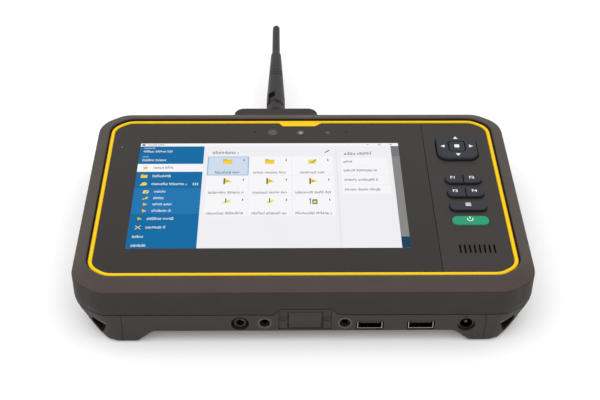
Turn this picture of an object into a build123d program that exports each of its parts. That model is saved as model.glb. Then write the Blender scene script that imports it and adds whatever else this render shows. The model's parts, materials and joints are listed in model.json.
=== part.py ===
from build123d import *
import math
import os

# Rugged tablet data collector with a plug-in radio module and a folding antenna.
#
# Lengths are in millimetres. +X is to the right of the screen, +Y runs towards the edge that
# carries the radio module, and +Z comes out of the screen. The origin is the centre of the
# flat back face, on the outer face of the battery pack.

# ---------------------------------------------------------------- driving dimensions

# Case outline: a rectangle whose corners are cut and then rounded.
CASE_HALF_X = 120.6
CASE_HALF_Y = 77.5
CASE_CUT_X = 13.5
CASE_CUT_Y = 9.5
CASE_CORNER_R = 13.0
FOOT_CUT_X = 20.5
FOOT_CUT_Y = 15.0
WALL = 3.5
SIDE_WALL = 5.1

# Levels above the back face.
LIP_Z = 33.7
RIM_FRONT_Z = 28.0
RIM_SIDE_Z = 29.4
RIM_BACK_Z = 31.4
RIM_BASE_Z = 26.0
GLASS_Z = 32.2
FRAME_TOP_Z = 29.7
TAPER_Z = 16.2
SEAM_Z = 12.2
SEAM_STEP_Z = 16.2
FLOOR_Z = 2.4
FOOT_Z = -6.8
PAD_Z = -7.1

# Seam between the front bumper and the rear half, with its raised part over the service port.
SEAM_GAP = 0.5
SEAM_STEP_X = (-15.7, -12.5, 14.4, 18.4)

# Side profile of the case, below the taper line.
FOOT_OUTER_X = 105.2
FOOT_INNER_X = 87.2
BELLY_X = 79.1

# Accent ring (centre line), and what lies round and inside it.
RING_HALF = (111.3, 68.2)
RING_CUT = (8.9, 6.2)
RING_R = 10.0
RING_WIDTH = 2.2
OPENING_GROW = 1.95
LIP_WIDTH = 1.1
PANEL_SPLIT_X = 72.0
TAB_WIDE = (-13.7, 14.0)
TAB_NARROW = (-10.7, 8.5)
TAB_Y = 64.0

# Display.
SCREEN_CENTRE = (-18.46, -0.42)
SCREEN_SIZE = (150.8, 94.2)

# Keys: (low x, high x), (low y, high y).
KEY_LIFT = 1.5
POWER_LIFT = 0.5
KEY_TRAVEL = 0.7
ENTER_TRAVEL = 0.6
KEY_R = 3.4
LEFT_KEY_X = (81.0, 91.05)
RIGHT_KEY_X = (91.35, 101.4)
FULL_KEY_X = (81.0, 101.4)
F_ROW_1_Y = (6.7, 14.7)
F_ROW_2_Y = (-5.6, 2.5)
MENU_Y = (-17.6, -9.5)
POWER_Y = (-29.1, -21.3)
DPAD_CENTRE = (90.9, 41.2)
DPAD_HALF = (11.8, 12.0)
DPAD_PIVOT_Z = 28.6
ENTER_HALF = (4.6, 4.8)

# Ports on the front edge: (x, z) of each centre.
ROUND_JACK = (-33.3, 5.9)
HEADSET_JACK = (-20.4, 6.4)
AUX_JACK = (21.5, 6.3)
USB_X = (34.6, 61.3)
USB_Z = 4.6
USB_SHELL = (13.1, 5.1)
POWER_JACK = (85.1, 4.9)
SERVICE_X = (-12.9, 14.2)
SERVICE_Z = (2.3, 14.5)
SERVICE_COVER_X = (-7.9, 9.4)
SERVICE_SCREWS_X = (-10.75, 12.15)
SERVICE_SCREW_Z = 9.3

# Radio module in its bay at the rear edge, and its antenna.
RADIO_X = (-40.7, 10.7)
RADIO_Y = (53.5, 96.0)
RADIO_Z = (6.2, 24.2)
RADIO_SPLIT_Z = 18.6
ANTENNA_X = -15.2
ANTENNA_Z = 18.2
HEEL_R = 6.2
ANTENNA_TIP_Y = 203.6
HINGE_Y = 109.5
HINGE_TURN = 29.0

# Back face: battery, latches, bracket holes and screws.
BATTERY_X = 60.0
BATTERY_Y = (-48.0, 30.0)
BATTERY_TOP_Z = 11.5
LATCH_X = 33.0
LATCH_TRAVEL = 6.0
BRACKET_X = 70.0
BRACKET_Y = 35.0
BRACKET_HOLE_R = 1.65
CASE_SCREWS = [(-75, -66), (75, -66), (-48, -66), (48, -66), (-75, 66), (75, 66), (-60, 66), (45, 66)]
RADIO_SCREWS = [(-33, 68), (3, 68)]
CAMERA_XY = (62.0, 58.0)
FLASH_XY = (51.0, 58.0)

# ---------------------------------------------------------------- shared helpers


def rounded_polygon(corners):
    """Flat face through (x, y, radius) corners."""
    face = Polygon(*[(x, y) for x, y, r in corners], align=None)
    for x, y, r in corners:
        if r:
            face = fillet(face.vertices().sort_by_distance((x, y, 0))[0], r)
    return face


def cut_corner_outline(half_x, half_y, cut_x, cut_y, radius):
    """Rectangle with cut corners, every vertex rounded by the same radius."""
    corners = []
    for sx, sy in ((1, 1), (-1, 1), (-1, -1), (1, -1)):
        side = (sx * half_x, sy * (half_y - cut_y), radius)
        end = (sx * (half_x - cut_x), sy * half_y, radius)
        corners += [side, end] if sx * sy > 0 else [end, side]
    return rounded_polygon(corners)


def ring_outline(grow):
    """Centre line of the accent ring, moved outwards evenly."""
    cut_x = RING_CUT[0] + 0.69 * grow
    cut_y = RING_CUT[1] + 0.48 * grow
    return cut_corner_outline(RING_HALF[0] + grow, RING_HALF[1] + grow, cut_x, cut_y, RING_R + grow)


def mirrored_profile(right_half):
    """Closed profile from its right-hand corners, top to bottom, mirrored to the left."""
    left_half = [(-x, z, r) for x, z, r in reversed(right_half)]
    return rounded_polygon(right_half + left_half)


def slab(face, low, high):
    """Straight plate of a flat face between two levels."""
    return extrude(Pos(0, 0, low) * face, high - low)


def block(x, y, z):
    """Box given by its (low, high) limits."""
    sizes = [high - low for low, high in (x, y, z)]
    centre = [(high + low) / 2 for low, high in (x, y, z)]
    return Pos(*centre) * Box(*sizes)


def soft_block(x, y, z, radius):
    """Box with rounded vertical edges."""
    face = Pos((x[0] + x[1]) / 2, (y[0] + y[1]) / 2) * RectangleRounded(x[1] - x[0], y[1] - y[0], radius)
    return slab(face, *z)


def post(x, y, low, high, radius):
    """Upright cylinder."""
    return Pos(x, y, low) * Cylinder(radius, high - low, align=(Align.CENTER, Align.CENTER, Align.MIN))


def rod_y(x, z, low, high, radius):
    """Cylinder along +Y."""
    plane = Plane(origin=(x, low, z), z_dir=(0, 1, 0))
    return plane * Cylinder(radius, high - low, align=(Align.CENTER, Align.CENTER, Align.MIN))


def rod_x(y, z, low, high, radius):
    """Cylinder along +X."""
    plane = Plane(origin=(low, y, z), z_dir=(1, 0, 0))
    return plane * Cylinder(radius, high - low, align=(Align.CENTER, Align.CENTER, Align.MIN))


def facing_front(x, y, z):
    """Plane at a point that faces the front edge, with its own x to the right and y upwards."""
    return Plane(origin=(x, y, z), x_dir=(1, 0, 0), z_dir=(0, -1, 0))


def mirror_x(shape):
    """Copy of a shape on the other side of the YZ plane."""
    return mirror(shape, about=Plane.YZ)


def top_edges(shape):
    """Edges of the highest face."""
    return shape.faces().sort_by(Axis.Z)[-1].edges()


def spread(values):
    """Middle of a (low, high) pair."""
    return (values[0] + values[1]) / 2


# ---------------------------------------------------------------- case

CASE_OUTLINE = cut_corner_outline(CASE_HALF_X, CASE_HALF_Y, CASE_CUT_X, CASE_CUT_Y, CASE_CORNER_R)
FOOT_OUTLINE = cut_corner_outline(CASE_HALF_X, CASE_HALF_Y, FOOT_CUT_X, FOOT_CUT_Y, CASE_CORNER_R)
INNER_OUTLINE = cut_corner_outline(CASE_HALF_X - SIDE_WALL, CASE_HALF_Y - WALL, 21.0, 15.5, 10.0)


def rim_slopes():
    """Everything under the sloping top of the bumper, which is steepest at the front."""
    lip_x = RING_HALF[0] + OPENING_GROW + LIP_WIDTH
    lip_y = RING_HALF[1] + OPENING_GROW + LIP_WIDTH
    drop = LIP_Z - RIM_BASE_Z
    side = lip_x + drop * (CASE_HALF_X - lip_x) / (LIP_Z - RIM_SIDE_Z)
    front = lip_y + drop * (CASE_HALF_Y - lip_y) / (LIP_Z - RIM_FRONT_Z)
    back = lip_y + drop * (CASE_HALF_Y - lip_y) / (LIP_Z - RIM_BACK_Z)
    base = cut_corner_outline(side, (front + back) / 2, CASE_CUT_X + 1.4, CASE_CUT_Y + 1.0, CASE_CORNER_R + 3)
    lip = ring_outline(OPENING_GROW + LIP_WIDTH)
    return loft([Pos(0, (back - front) / 2, RIM_BASE_Z) * base, Pos(0, 0, LIP_Z) * lip], ruled=True)


def rim_edges(body):
    """Crisp edges where the sloping rim meets the walls."""
    outline = CASE_OUTLINE.faces()[0].outer_wire()
    level = [e for e in body.edges() if RIM_FRONT_Z - 1 < e.center().Z < LIP_Z - 1]
    flat = [(e, Vertex(e.center().X, e.center().Y, 0)) for e in level]
    return [e for e, v in flat if outline.distance_to(v) < 0.3 and abs(e.position_at(0).Z - e.position_at(1).Z) < 2.9]


def case_envelope():
    """Outside of the closed case: sloping rim, tapered sides, leaning corners and two foot rails."""
    rim = fillet(top_edges(rim_slopes()), 3.0)
    upper = slab(CASE_OUTLINE, TAPER_Z, RIM_BASE_Z) + (slab(CASE_OUTLINE, RIM_BASE_Z, LIP_Z) & rim)
    upper = fillet(rim_edges(upper), 0.8)
    lower = loft([Pos(0, 0, FOOT_Z) * FOOT_OUTLINE, Pos(0, 0, TAPER_Z) * CASE_OUTLINE], ruled=True)
    profile = mirrored_profile([
        (CASE_HALF_X, LIP_Z + 10, 0),
        (CASE_HALF_X, TAPER_Z, 8),
        (FOOT_OUTER_X, FOOT_Z, 16),
        (FOOT_INNER_X, FOOT_Z, 3.5),
        (BELLY_X, 0, 5),
    ])
    return (upper + lower) & extrude(Plane.XZ * profile, CASE_HALF_Y + 20, both=True)


def below_seam(offset):
    """Everything under the seam, which steps up over the service port on the front edge."""
    level = SEAM_Z + offset
    low = block((-150, 150), (-100, 120), (-20, level))
    x0, x1, x2, x3 = SEAM_STEP_X
    raised = SEAM_STEP_Z + offset
    step = Polygon((x3, level - 2), (x3, level), (x2, raised), (x1, raised), (x0, level), (x0, level - 2),
                   align=None)
    return low + extrude(facing_front(0, -40, 0) * step, 60)


def case_cavity():
    """Inside of the case, down to the floor and into the foot rails."""
    profile = mirrored_profile([
        (CASE_HALF_X - SIDE_WALL, LIP_Z + 10, 0),
        (CASE_HALF_X - SIDE_WALL, TAPER_Z, 0),
        (106.5, FLOOR_Z, 0),
        (101.5, -3.6, 0),
        (90.5, -3.6, 0),
        (84.0, FLOOR_Z, 0),
    ])
    return slab(INNER_OUTLINE, -4, LIP_Z - 3.2) & extrude(Plane.XZ * profile, 100, both=True)


def radio_bay(margin):
    """Space of the radio module inside the case, grown by a margin."""
    return block((RADIO_X[0] - margin, RADIO_X[1] + margin), (RADIO_Y[0] - margin, 90),
                 (RADIO_Z[0] - margin, RADIO_Z[1] + margin))


ENVELOPE = case_envelope()
CAVITY = case_cavity()


def near_opening(edge):
    """Whether an edge lies on the wall of the bumper's opening."""
    middle = edge.center()
    return ring_outline(OPENING_GROW).faces()[0].outer_wire().distance_to(Vertex(middle.X, middle.Y, 0)) < 0.05


def front_bumper():
    """Moulded bumper that frames the screen and forms the upper half of the side walls."""
    body = ENVELOPE - below_seam(SEAM_GAP / 2) - CAVITY
    body -= slab(ring_outline(OPENING_GROW), 28, 40)
    opening = [e for e in body.edges() if e.center().Z > LIP_Z - 0.6 and near_opening(e)]
    body = fillet(opening, 0.7)
    return body - radio_bay(0.35)


def housing_gasket():
    """Seal in the seam, set back from the surface so that it reads as a dark groove."""
    band = slab(cut_corner_outline(117.3, 76.9, 11.6, 8.25, 12.0), 5, 25) - slab(INNER_OUTLINE, 0, 30)
    seal = (band & below_seam(SEAM_GAP / 2)) - below_seam(-SEAM_GAP / 2)
    return seal - radio_bay(0.35)


def port_holes():
    """Openings of the front wall for the sockets."""
    holes = rod_y(*ROUND_JACK, -80, -70, 4.7) + rod_y(*POWER_JACK, -80, -70, 4.65)
    holes += rod_y(*HEADSET_JACK, -80, -70, 2.75) + rod_y(*AUX_JACK, -80, -70, 2.85)
    for x in USB_X:
        wide = USB_SHELL[0] / 2 + 0.7
        high = USB_SHELL[1] / 2 + 0.6
        holes += extrude(facing_front(x, -70, USB_Z) * RectangleRounded(2 * wide, 2 * high, 0.9), 10)
    return holes


def socket_recesses():
    """Space behind the front wall where sockets sink into the floor."""
    space = rod_y(*ROUND_JACK, -74, -58, 4.8) + rod_y(*POWER_JACK, -74, -58, 4.8)
    for x in USB_X:
        space += block((x - 7.0, x + 7.0), (-74, -57), (1.6, 9))
    return space


def battery_space(margin):
    """Space of the battery pack, grown by a margin on its sides and top."""
    return block((-BATTERY_X - margin, BATTERY_X + margin), (BATTERY_Y[0] - margin, BATTERY_Y[1] + margin),
                 (-1, BATTERY_TOP_Z + margin))


def housing_insides():
    """Ribs, bosses and bay walls that stand on the floor of the rear housing."""
    insides = battery_space(1.7) & block((-90, 90), (-70, 70), (1, 40))
    bay = block((RADIO_X[0] - 2, RADIO_X[1] + 2), (RADIO_Y[0] - 2, CASE_HALF_Y - 0.6), (1, RADIO_Z[1] + 1.6))
    insides += bay
    for x, y in CASE_SCREWS:
        insides += post(x, y, 1, 11.6, 4.0)
    for sx in (-1, 1):
        insides += block(sorted((sx * 92.4, sx * 94.9)), (-70, 70), (-4, 11.4))
        for sy in (-1, 1):
            insides += post(sx * BRACKET_X, sy * BRACKET_Y, 1, 10.5, 4.0)
    return insides & slab(INNER_OUTLINE, -5, 40)


def screw_holes():
    """Counterbored holes for the case screws and the screws of the radio module."""
    places = CASE_SCREWS + RADIO_SCREWS
    return Part() + [post(x, y, -1, 2.2, 3.2) + post(x, y, -1, 30, 1.6) for x, y in places]


def latch_recesses():
    """Pockets of the battery latches beside the battery."""
    pockets = None
    for sx in (-1, 1):
        near = sx * (LATCH_X - 9.4)
        far = sx * (LATCH_X + 9.4 + LATCH_TRAVEL)
        pocket = block(sorted((near, far)), (BATTERY_Y[1] - 1, BATTERY_Y[1] + 10.2), (-1, 1.9))
        pockets = pocket if pockets is None else pockets + pocket
    return pockets


def service_pocket():
    """Shallow pocket and through hole of the service port."""
    pocket = block((SERVICE_X[0] - 0.25, SERVICE_X[1] + 0.25), (-80, -76.3),
                   (SERVICE_Z[0] - 0.25, SERVICE_Z[1] + 0.25))
    through = block((SERVICE_COVER_X[0] + 1, SERVICE_COVER_X[1] - 1), (-80, -70), (3.6, 13.0))
    for x in SERVICE_SCREWS_X:
        through += rod_y(x, SERVICE_SCREW_Z, -80, -70, 1.05)
    return pocket + through


def lower_half():
    """Whole lower half of the case, before the end caps are parted from it."""
    body = (ENVELOPE & below_seam(-SEAM_GAP / 2)) - CAVITY
    bottom = [e for e in body.edges().filter_by(Plane.XZ) if e.center().Z < 3 and abs(e.center().Y) > 77.4]
    return fillet(bottom, 1.6)


LOWER_HALF = lower_half()


def rear_housing():
    """Middle of the lower half, with the battery bay, the radio bay and all the ports."""
    body = LOWER_HALF & block((-94.9, 94.9), (-100, 100), (-20, 40))
    body += housing_insides()
    body -= battery_space(0.2)
    body -= radio_bay(0.2)
    body -= port_holes() + socket_recesses()
    body -= service_pocket()
    body -= screw_holes() + latch_recesses()
    for sx in (-1, 1):
        for sy in (-1, 1):
            body -= post(sx * BRACKET_X, sy * BRACKET_Y, -1, 8.0, BRACKET_HOLE_R)
            body -= foot_pad(sx, sy, 0.1)
    body -= post(*CAMERA_XY, -1, 5, 4.6) + post(*FLASH_XY, -1, 5, 2.1)
    for contact in battery_contacts():
        body -= contact
    return body - rod_y(84.5, 10.6, -80, -70, 0.45)


def strap_pocket():
    """Pocket in the right front corner through which a strap is led round its bar."""
    section = rounded_polygon([(102.3, 7.4, 0.6), (105.2, -2.0, 0.8), (106.6, -2.0, 0.8), (110.8, 3.9, 1.0),
                               (110.8, 7.4, 0.6)])
    return extrude(facing_front(0, -63, 0) * section, 20)


def strap_bar():
    """Steel bar across the right front strap pocket, parallel to the corner face."""
    along = Plane(origin=(101.8, -76.0, 5.2), z_dir=(FOOT_CUT_X + CASE_CUT_X, FOOT_CUT_Y + CASE_CUT_Y, 0))
    return along * Cylinder(1.25, 12.4, align=(Align.CENTER, Align.CENTER, Align.MIN))


def end_cap():
    """Right-hand end of the lower half, with a strap pocket in each corner."""
    cap = LOWER_HALF & block((95.1, 130), (-100, 100), (-20, 40))
    lining = block((99.9, 113), (-76, -55.6), (FOOT_Z, 9.8)) & ENVELOPE & below_seam(-SEAM_GAP / 2)
    pocket = strap_pocket() + strap_bar()
    cap += lining + mirror(lining, about=Plane.XZ)
    return cap - pocket - mirror(pocket, about=Plane.XZ)


def strap_bars():
    """Four steel bars for straps, one in each corner."""
    bar = strap_bar()
    pair = [bar, mirror(bar, about=Plane.XZ)]
    return pair + [mirror_x(b) for b in pair]


def foot_pad(sx, sy, margin=0.0):
    """Rubber pad let into the underside of a foot rail."""
    x = sorted((sx * (88.9 - margin), sx * (94.2 + margin)))
    y = sorted((sy * (30 - margin), sy * (66 + margin)))
    return soft_block(x, y, (PAD_Z, FOOT_Z + 1.0), 2.0)


def foot_pads():
    """Four pads that carry the case on a table."""
    return [foot_pad(sx, sy) for sx in (-1, 1) for sy in (-1, 1)]


def mid_frame():
    """Cast frame that carries the glass, the display, the keypad and the boards."""
    outer = cut_corner_outline(115.2, 73.7, 20.8, 15.3, 9.8)
    inner = cut_corner_outline(106.8, 63.8, 10.0, 7.0, 8.0)
    frame = slab(outer, 23.4, FRAME_TOP_Z) - slab(inner, 24.8, 40)
    frame += block((69.4, 74.6), (-63.8, 63.8), (24, FRAME_TOP_Z))
    for x, y in CASE_SCREWS:
        frame += post(x, y, 12.0, 24, 3.4)
        frame -= post(x, y, 10, 22, 1.6)
    frame -= block((RADIO_X[0] - 2.2, RADIO_X[1] + 2.2), (RADIO_Y[0] - 2.2, 80), (20, RADIO_Z[1] + 1.8))
    return frame - block((-30, 30), (54.5, 61.5), (24, 40))


def case_screw(x, y, tip_z):
    """Pan head screw with a hex socket, driven from the back."""
    screw = post(x, y, 0.4, 2.2, 3.0) + post(x, y, 2.2, tip_z, 1.5)
    socket = Pos(x, y, 0.4) * RegularPolygon(1.35, 6)
    return screw - extrude(socket, 1.2)


def housing_screws():
    """All screws on the back face."""
    screws = [case_screw(x, y, 20.0) for x, y in CASE_SCREWS]
    return screws + [case_screw(x, y, RADIO_Z[0] + 4) for x, y in RADIO_SCREWS]


# ---------------------------------------------------------------- front face


def tab_outline(grow):
    """Tab that hangs from the ring at the top of the screen."""
    top = RING_HALF[1]
    return Polygon((TAB_WIDE[0] - grow, top), (TAB_NARROW[0] - grow, TAB_Y - grow),
                   (TAB_NARROW[1] + grow, TAB_Y - grow), (TAB_WIDE[1] + grow, top), align=None)


def accent_ring():
    """Coloured ring round the glass, with a blank tab at the top."""
    half = RING_WIDTH / 2
    ring = slab(ring_outline(half), FRAME_TOP_Z, GLASS_Z + 0.6) - slab(ring_outline(-half), 0, 40)
    ring = fillet(top_edges(ring), 0.8)
    return ring + slab(tab_outline(0), FRAME_TOP_Z, GLASS_Z + 0.25)


def glass_field():
    """Outline shared by the glass and the keypad panel."""
    return ring_outline(-RING_WIDTH / 2 - 0.15)


def display_glass():
    """Cover glass over the screen, with a notch for the tab of the ring."""
    plate = slab(glass_field(), 30.2, GLASS_Z) & block((-130, PANEL_SPLIT_X - 0.15), (-90, 90), (0, 40))
    return plate - slab(tab_outline(0.15), 20, 40)


def display_gasket():
    """Adhesive foam frame between the glass and the mid frame."""
    frame = slab(ring_outline(-1.75), FRAME_TOP_Z, 30.2) - slab(ring_outline(-3.7), 0, 40)
    frame &= block((-130, PANEL_SPLIT_X - 0.4), (-90, 90), (0, 40))
    frame += block((69.6, PANEL_SPLIT_X - 0.4), (-65.5, 65.5), (FRAME_TOP_Z, 30.2))
    return frame - slab(tab_outline(0.15), 20, 40)


def screen_plate(margin, low, high):
    """Flat plate centred on the screen."""
    x, y = SCREEN_CENTRE
    size_x, size_y = SCREEN_SIZE
    return Pos(x, y, low) * Box(size_x + 2 * margin, size_y + 2 * margin, high - low,
                                align=(Align.CENTER, Align.CENTER, Align.MIN))


def lcd_panel():
    """Liquid crystal panel, bonded to the underside of the glass."""
    return screen_plate(2.6, 28.3, 30.2)


def backlight_unit():
    """Light guide and its tray under the panel."""
    return screen_plate(3.6, 25.3, 28.3)


def key_hole(x, y, gap):
    """Opening of the keypad panel round one key or one pair of keys."""
    return soft_block((x[0] - gap, x[1] + gap), (y[0] - gap, y[1] + gap), (20, 40), KEY_R + gap)


def speaker_slots():
    """Row of eight slots over the speaker."""
    count = 8
    pitch = 2.6
    first = 82.9
    slots = None
    for i in range(count):
        x = first + i * pitch
        slot = soft_block((x - 0.5, x + 0.5), (-52.0, -45.1), (20, 40), 0.45)
        slots = slot if slots is None else slots + slot
    return slots


def keypad_panel():
    """Fixed panel to the right of the glass, with openings for the keys and the speaker."""
    plate = slab(glass_field(), 30.0, GLASS_Z) & block((PANEL_SPLIT_X + 0.15, 130), (-90, 90), (0, 40))
    gap = 0.25
    for y in (F_ROW_1_Y, F_ROW_2_Y, MENU_Y, POWER_Y):
        plate -= key_hole(FULL_KEY_X, y, gap)
    x, y = DPAD_CENTRE
    gap = 0.5
    wide, deep = DPAD_HALF
    opening = soft_block((x - wide - gap, x + wide + gap), (y - deep - gap, y + deep + gap), (20, 40), 6.5)
    plate -= opening
    feet = block((74.8, 77.5), (-60, 60), (FRAME_TOP_Z - 0.5, 30.0))
    return plate + feet - speaker_slots()


# ---------------------------------------------------------------- keypad


def key_cap(x, y, square_side=0, lift=KEY_LIFT):
    """Key with a soft top edge and a flange that the panel holds down.

    square_side is +1 or -1 where that end of the key meets its neighbour, and 0 for a key
    that is rounded at both ends.
    """
    long_x = list(x)
    flange_x = [x[0] - 0.9, x[1] + 0.9]
    if square_side:
        end = 1 if square_side > 0 else 0
        long_x[end] += square_side * 8
        flange_x[end] = x[end]
    window = block(x, (-80, 80), (0, 50))
    cap = soft_block(long_x, y, (28.9, GLASS_Z + lift), KEY_R) & window
    cap = fillet(top_edges(cap), 0.7)
    flange = soft_block(flange_x, (y[0] - 0.9, y[1] + 0.9), (28.9, 29.7), 0.8)
    return cap + flange


def dpad_key():
    """Four-way rocker, hollow underneath, with lugs that hang on the pivot ring."""
    x, y = DPAD_CENTRE
    wide, deep = DPAD_HALF
    outer = Pos(x, y) * RectangleRounded(2 * wide, 2 * deep, 6.0)
    cap = slab(outer, 29.9, GLASS_Z + KEY_LIFT + 0.3)
    cap = fillet(top_edges(cap), 1.3)
    cap -= post(x, y, 20, 31.9, 9.4)
    for sy in (-1, 1):
        lug = block((x - 1.6, x + 1.6), sorted((y + sy * 7.6, y + sy * 9.0)), (27.5, 32.0))
        cap += lug
        cap -= rod_y(x, DPAD_PIVOT_Z, *sorted((y + sy * 7.0, y + sy * 9.5)), 0.66)
    for dx, dy in ((1, 0), (-1, 0), (0, 1), (0, -1)):
        cap += post(x + 10.5 * dx, y + 10.5 * dy, 28.8, 30.2, 0.9)
    gap = 0.5
    hole_x = ENTER_HALF[0] + gap
    hole_y = ENTER_HALF[1] + gap
    return cap - soft_block((x - hole_x, x + hole_x), (y - hole_y, y + hole_y), (20, 40), 1.8 + gap)


def dpad_pivot_ring():
    """Ring with two crossed pairs of stub axles, so that the rocker tips both ways."""
    x, y = DPAD_CENTRE
    ring = post(x, y, 27.8, 29.4, 7.0) - post(x, y, 20, 40, 5.5)
    for side in (-1, 1):
        ring += rod_y(x, DPAD_PIVOT_Z, *sorted((y + side * 6.5, y + side * 8.9)), 0.6)
        ring += rod_x(y, DPAD_PIVOT_Z, *sorted((x + side * 6.5, x + side * 8.9)), 0.6)
    return ring


def dpad_bracket():
    """Plate under the rocker with the two bearings of the pivot ring."""
    x, y = DPAD_CENTRE
    bracket = block((x - 9.0, x + 9.0), (y - 3.2, y + 3.2), (26.9, 27.4))
    for side in (-1, 1):
        bracket += block(sorted((x + side * 7.6, x + side * 9.0)), (y - 1.6, y + 1.6), (27.2, 29.7))
        bracket -= rod_x(y, DPAD_PIVOT_Z, *sorted((x + side * 7.0, x + side * 9.5)), 0.66)
    return bracket - post(x, y, 20, 40, 2.6)


def enter_key():
    """Centre key, which passes through the rocker."""
    x, y = DPAD_CENTRE
    wide, deep = ENTER_HALF
    cap = soft_block((x - wide, x + wide), (y - deep, y + deep), (30.5, GLASS_Z + KEY_LIFT + 0.4), 1.8)
    cap = fillet(top_edges(cap), 0.6)
    flange = soft_block((x - 5.35, x + 5.35), (y - 5.45, y + 5.45), (30.5, 31.15), 1.5)
    return cap + flange + post(x, y, 27.9, 30.6, 2.0)


def key_centres():
    """Middle of every switch on the keypad board."""
    rows = [(spread(LEFT_KEY_X), spread(F_ROW_1_Y)), (spread(RIGHT_KEY_X), spread(F_ROW_1_Y))]
    rows += [(spread(LEFT_KEY_X), spread(F_ROW_2_Y)), (spread(RIGHT_KEY_X), spread(F_ROW_2_Y))]
    rows += [(spread(FULL_KEY_X), spread(MENU_Y)), (spread(FULL_KEY_X), spread(POWER_Y))]
    return rows


def keypad_membrane():
    """Rubber mat with a switch dome under every key."""
    mat = soft_block((77.8, 104.0), (-34, 56), (26.2, 26.9), 3.0)
    for x, y in key_centres():
        mat += Pos(x, y, 26.8) * Cone(2.6, 1.7, 1.2, align=(Align.CENTER, Align.CENTER, Align.MIN))
    cx, cy = DPAD_CENTRE
    for dx, dy in ((1, 0), (-1, 0), (0, 1), (0, -1)):
        foot = Pos(cx + 10.5 * dx, cy + 10.5 * dy, 26.8)
        mat += foot * Cone(1.3, 0.9, 1.4, align=(Align.CENTER, Align.CENTER, Align.MIN))
    return mat


def keypad_board():
    """Printed circuit board under the mat."""
    return soft_block((77.2, 104.6), (-36, 58), (25.2, 26.2), 1.5)


# ---------------------------------------------------------------- parts behind the front face


def speaker_mesh():
    """Dust mesh behind the speaker slots."""
    return soft_block((81.5, 102.5), (-54.0, -43.0), (29.75, 30.0), 1.5)


def speaker():
    """Oval loudspeaker with its cone and magnet."""
    body = soft_block((83.0, 101.0), (-54.0, -43.0), (26.0, 29.5), 5.0)
    body -= soft_block((84.0, 100.0), (-53.0, -44.0), (28.5, 30), 4.2)
    return body + post(92, -48.5, 24.9, 26.5, 4.0)


def front_camera():
    """Camera barrel that looks through the glass."""
    x, y = (-16.8, 57.8)
    return post(x, y, 27.6, 30.2, 2.9) + block((x - 3.6, x + 3.6), (y - 3.2, y + 3.2), (26.3, 27.7))


def light_sensor():
    """Brightness sensor beside the camera."""
    return post(-0.2, 57.6, 28.4, 30.2, 2.1)


def status_leds():
    """Indicator lights under the border of the glass."""
    lower = post(-104.7, 43.2, 29.75, 30.2, 0.8)
    return [post(15.9, 57.5, 28.4, 30.2, 1.3), lower]


def microphones():
    """Two microphones behind pin holes."""
    return [post(x, y, 28.6, 30.2, 1.2) for x, y in ((-27.0, 58.1), (26.8, 58.1))]


def mainboard():
    """Main circuit board, cut back round the radio bay and the frame posts."""
    board = slab(cut_corner_outline(113.0, 71.5, 20.5, 15.0, 9.0), 15.4, 17.0)
    board -= block((RADIO_X[0] - 3.5, RADIO_X[1] + 3.5), (RADIO_Y[0] - 3.5, 90), (0, 40))
    for x, y in CASE_SCREWS:
        board -= post(x, y, 0, 40, 4.2)
    board -= block((SEAM_STEP_X[0] - 2, SEAM_STEP_X[3] + 2), (-80, -66), (0, 40))
    return board


def shield_cans():
    """Screening lids over the processor, the modem and the power stage."""
    spots = [((-38, 12), (-28, 22), 3.2), ((28, 60), (-14, 24), 3.2), ((-88, -56), (-20, 14), 2.6)]
    return [soft_block(x, y, (17.0, 17.0 + h), 1.2) for x, y, h in spots]


def heat_spreader():
    """Copper plate that takes heat from the lids to the mid frame."""
    return soft_block((-44, 62), (-30, 26), (20.3, 23.4), 4.0)


def gnss_antenna():
    """Ceramic patch antenna near the rear edge."""
    return soft_block((84, 102), (44, 62), (17.0, 22.0), 1.0)


def flat_cells():
    """Four flat cells inside the battery pack."""
    cells = []
    for i in range(4):
        left = -56.0 + i * 28.2
        cells.append(soft_block((left, left + 27.4), (-45.0, 26.0), (2.2, 9.6), 2.0))
    return cells


# ---------------------------------------------------------------- battery and latches


def battery_case():
    """Removable battery pack, flush with the back face, with edges for the two latches."""
    outer = soft_block((-BATTERY_X, BATTERY_X), BATTERY_Y, (0, BATTERY_TOP_Z), 3.0)
    outer = chamfer(outer.faces().sort_by(Axis.Z)[0].edges(), 0.5)
    pack = outer - soft_block((-57.0, 57.0), (-46.0, 27.0), (1.6, 10.0), 2.0)
    edge = BATTERY_Y[1]
    for sx in (-1, 1):
        ledge = sorted((sx * (LATCH_X - 3.2), sx * (LATCH_X + 9.2)))
        slot = sorted((sx * (LATCH_X + 3.4), sx * (LATCH_X + 9.2)))
        pack -= block(ledge, (edge - 2.4, edge + 1), (-1, 1.9))
        pack -= block(slot, (edge - 2.4, edge + 1), (-1, 20))
    return pack


def battery_contacts():
    """Gold spring contacts let into the front wall of the battery bay."""
    return [block((x - 1.1, x + 1.1), (-49.7, -48.1), (3.0, 8.0)) for x in (-12, -6, 0, 6, 12)]


def battery_latch():
    """Right-hand sliding latch with a thumb ridge and a tongue over the battery."""
    plate = soft_block((LATCH_X - 9.0, LATCH_X + 9.0), (BATTERY_Y[1] + 0.6, BATTERY_Y[1] + 9.8), (0.3, 1.7), 1.2)
    for i in range(4):
        x = LATCH_X - 6.0 + 4.0 * i
        plate += block((x - 0.6, x + 0.6), (BATTERY_Y[1] + 2.2, BATTERY_Y[1] + 8.2), (-0.5, 0.5))
    tongue = block((LATCH_X - 2.6, LATCH_X + 2.6), (BATTERY_Y[1] - 2.0, BATTERY_Y[1] + 1), (0.4, 1.6))
    return plate + tongue


# ---------------------------------------------------------------- cameras on the back


def rear_camera():
    """Window and barrel of the rear camera."""
    x, y = CAMERA_XY
    window = post(x, y, 0.3, 3.4, 4.5)
    return window + block((x - 5.5, x + 5.5), (y - 5.5, y + 5.5), (3.4, 8.0))


def camera_flash():
    """Clear lens of the camera light."""
    return post(*FLASH_XY, 0.3, 4.0, 2.0)


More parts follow.
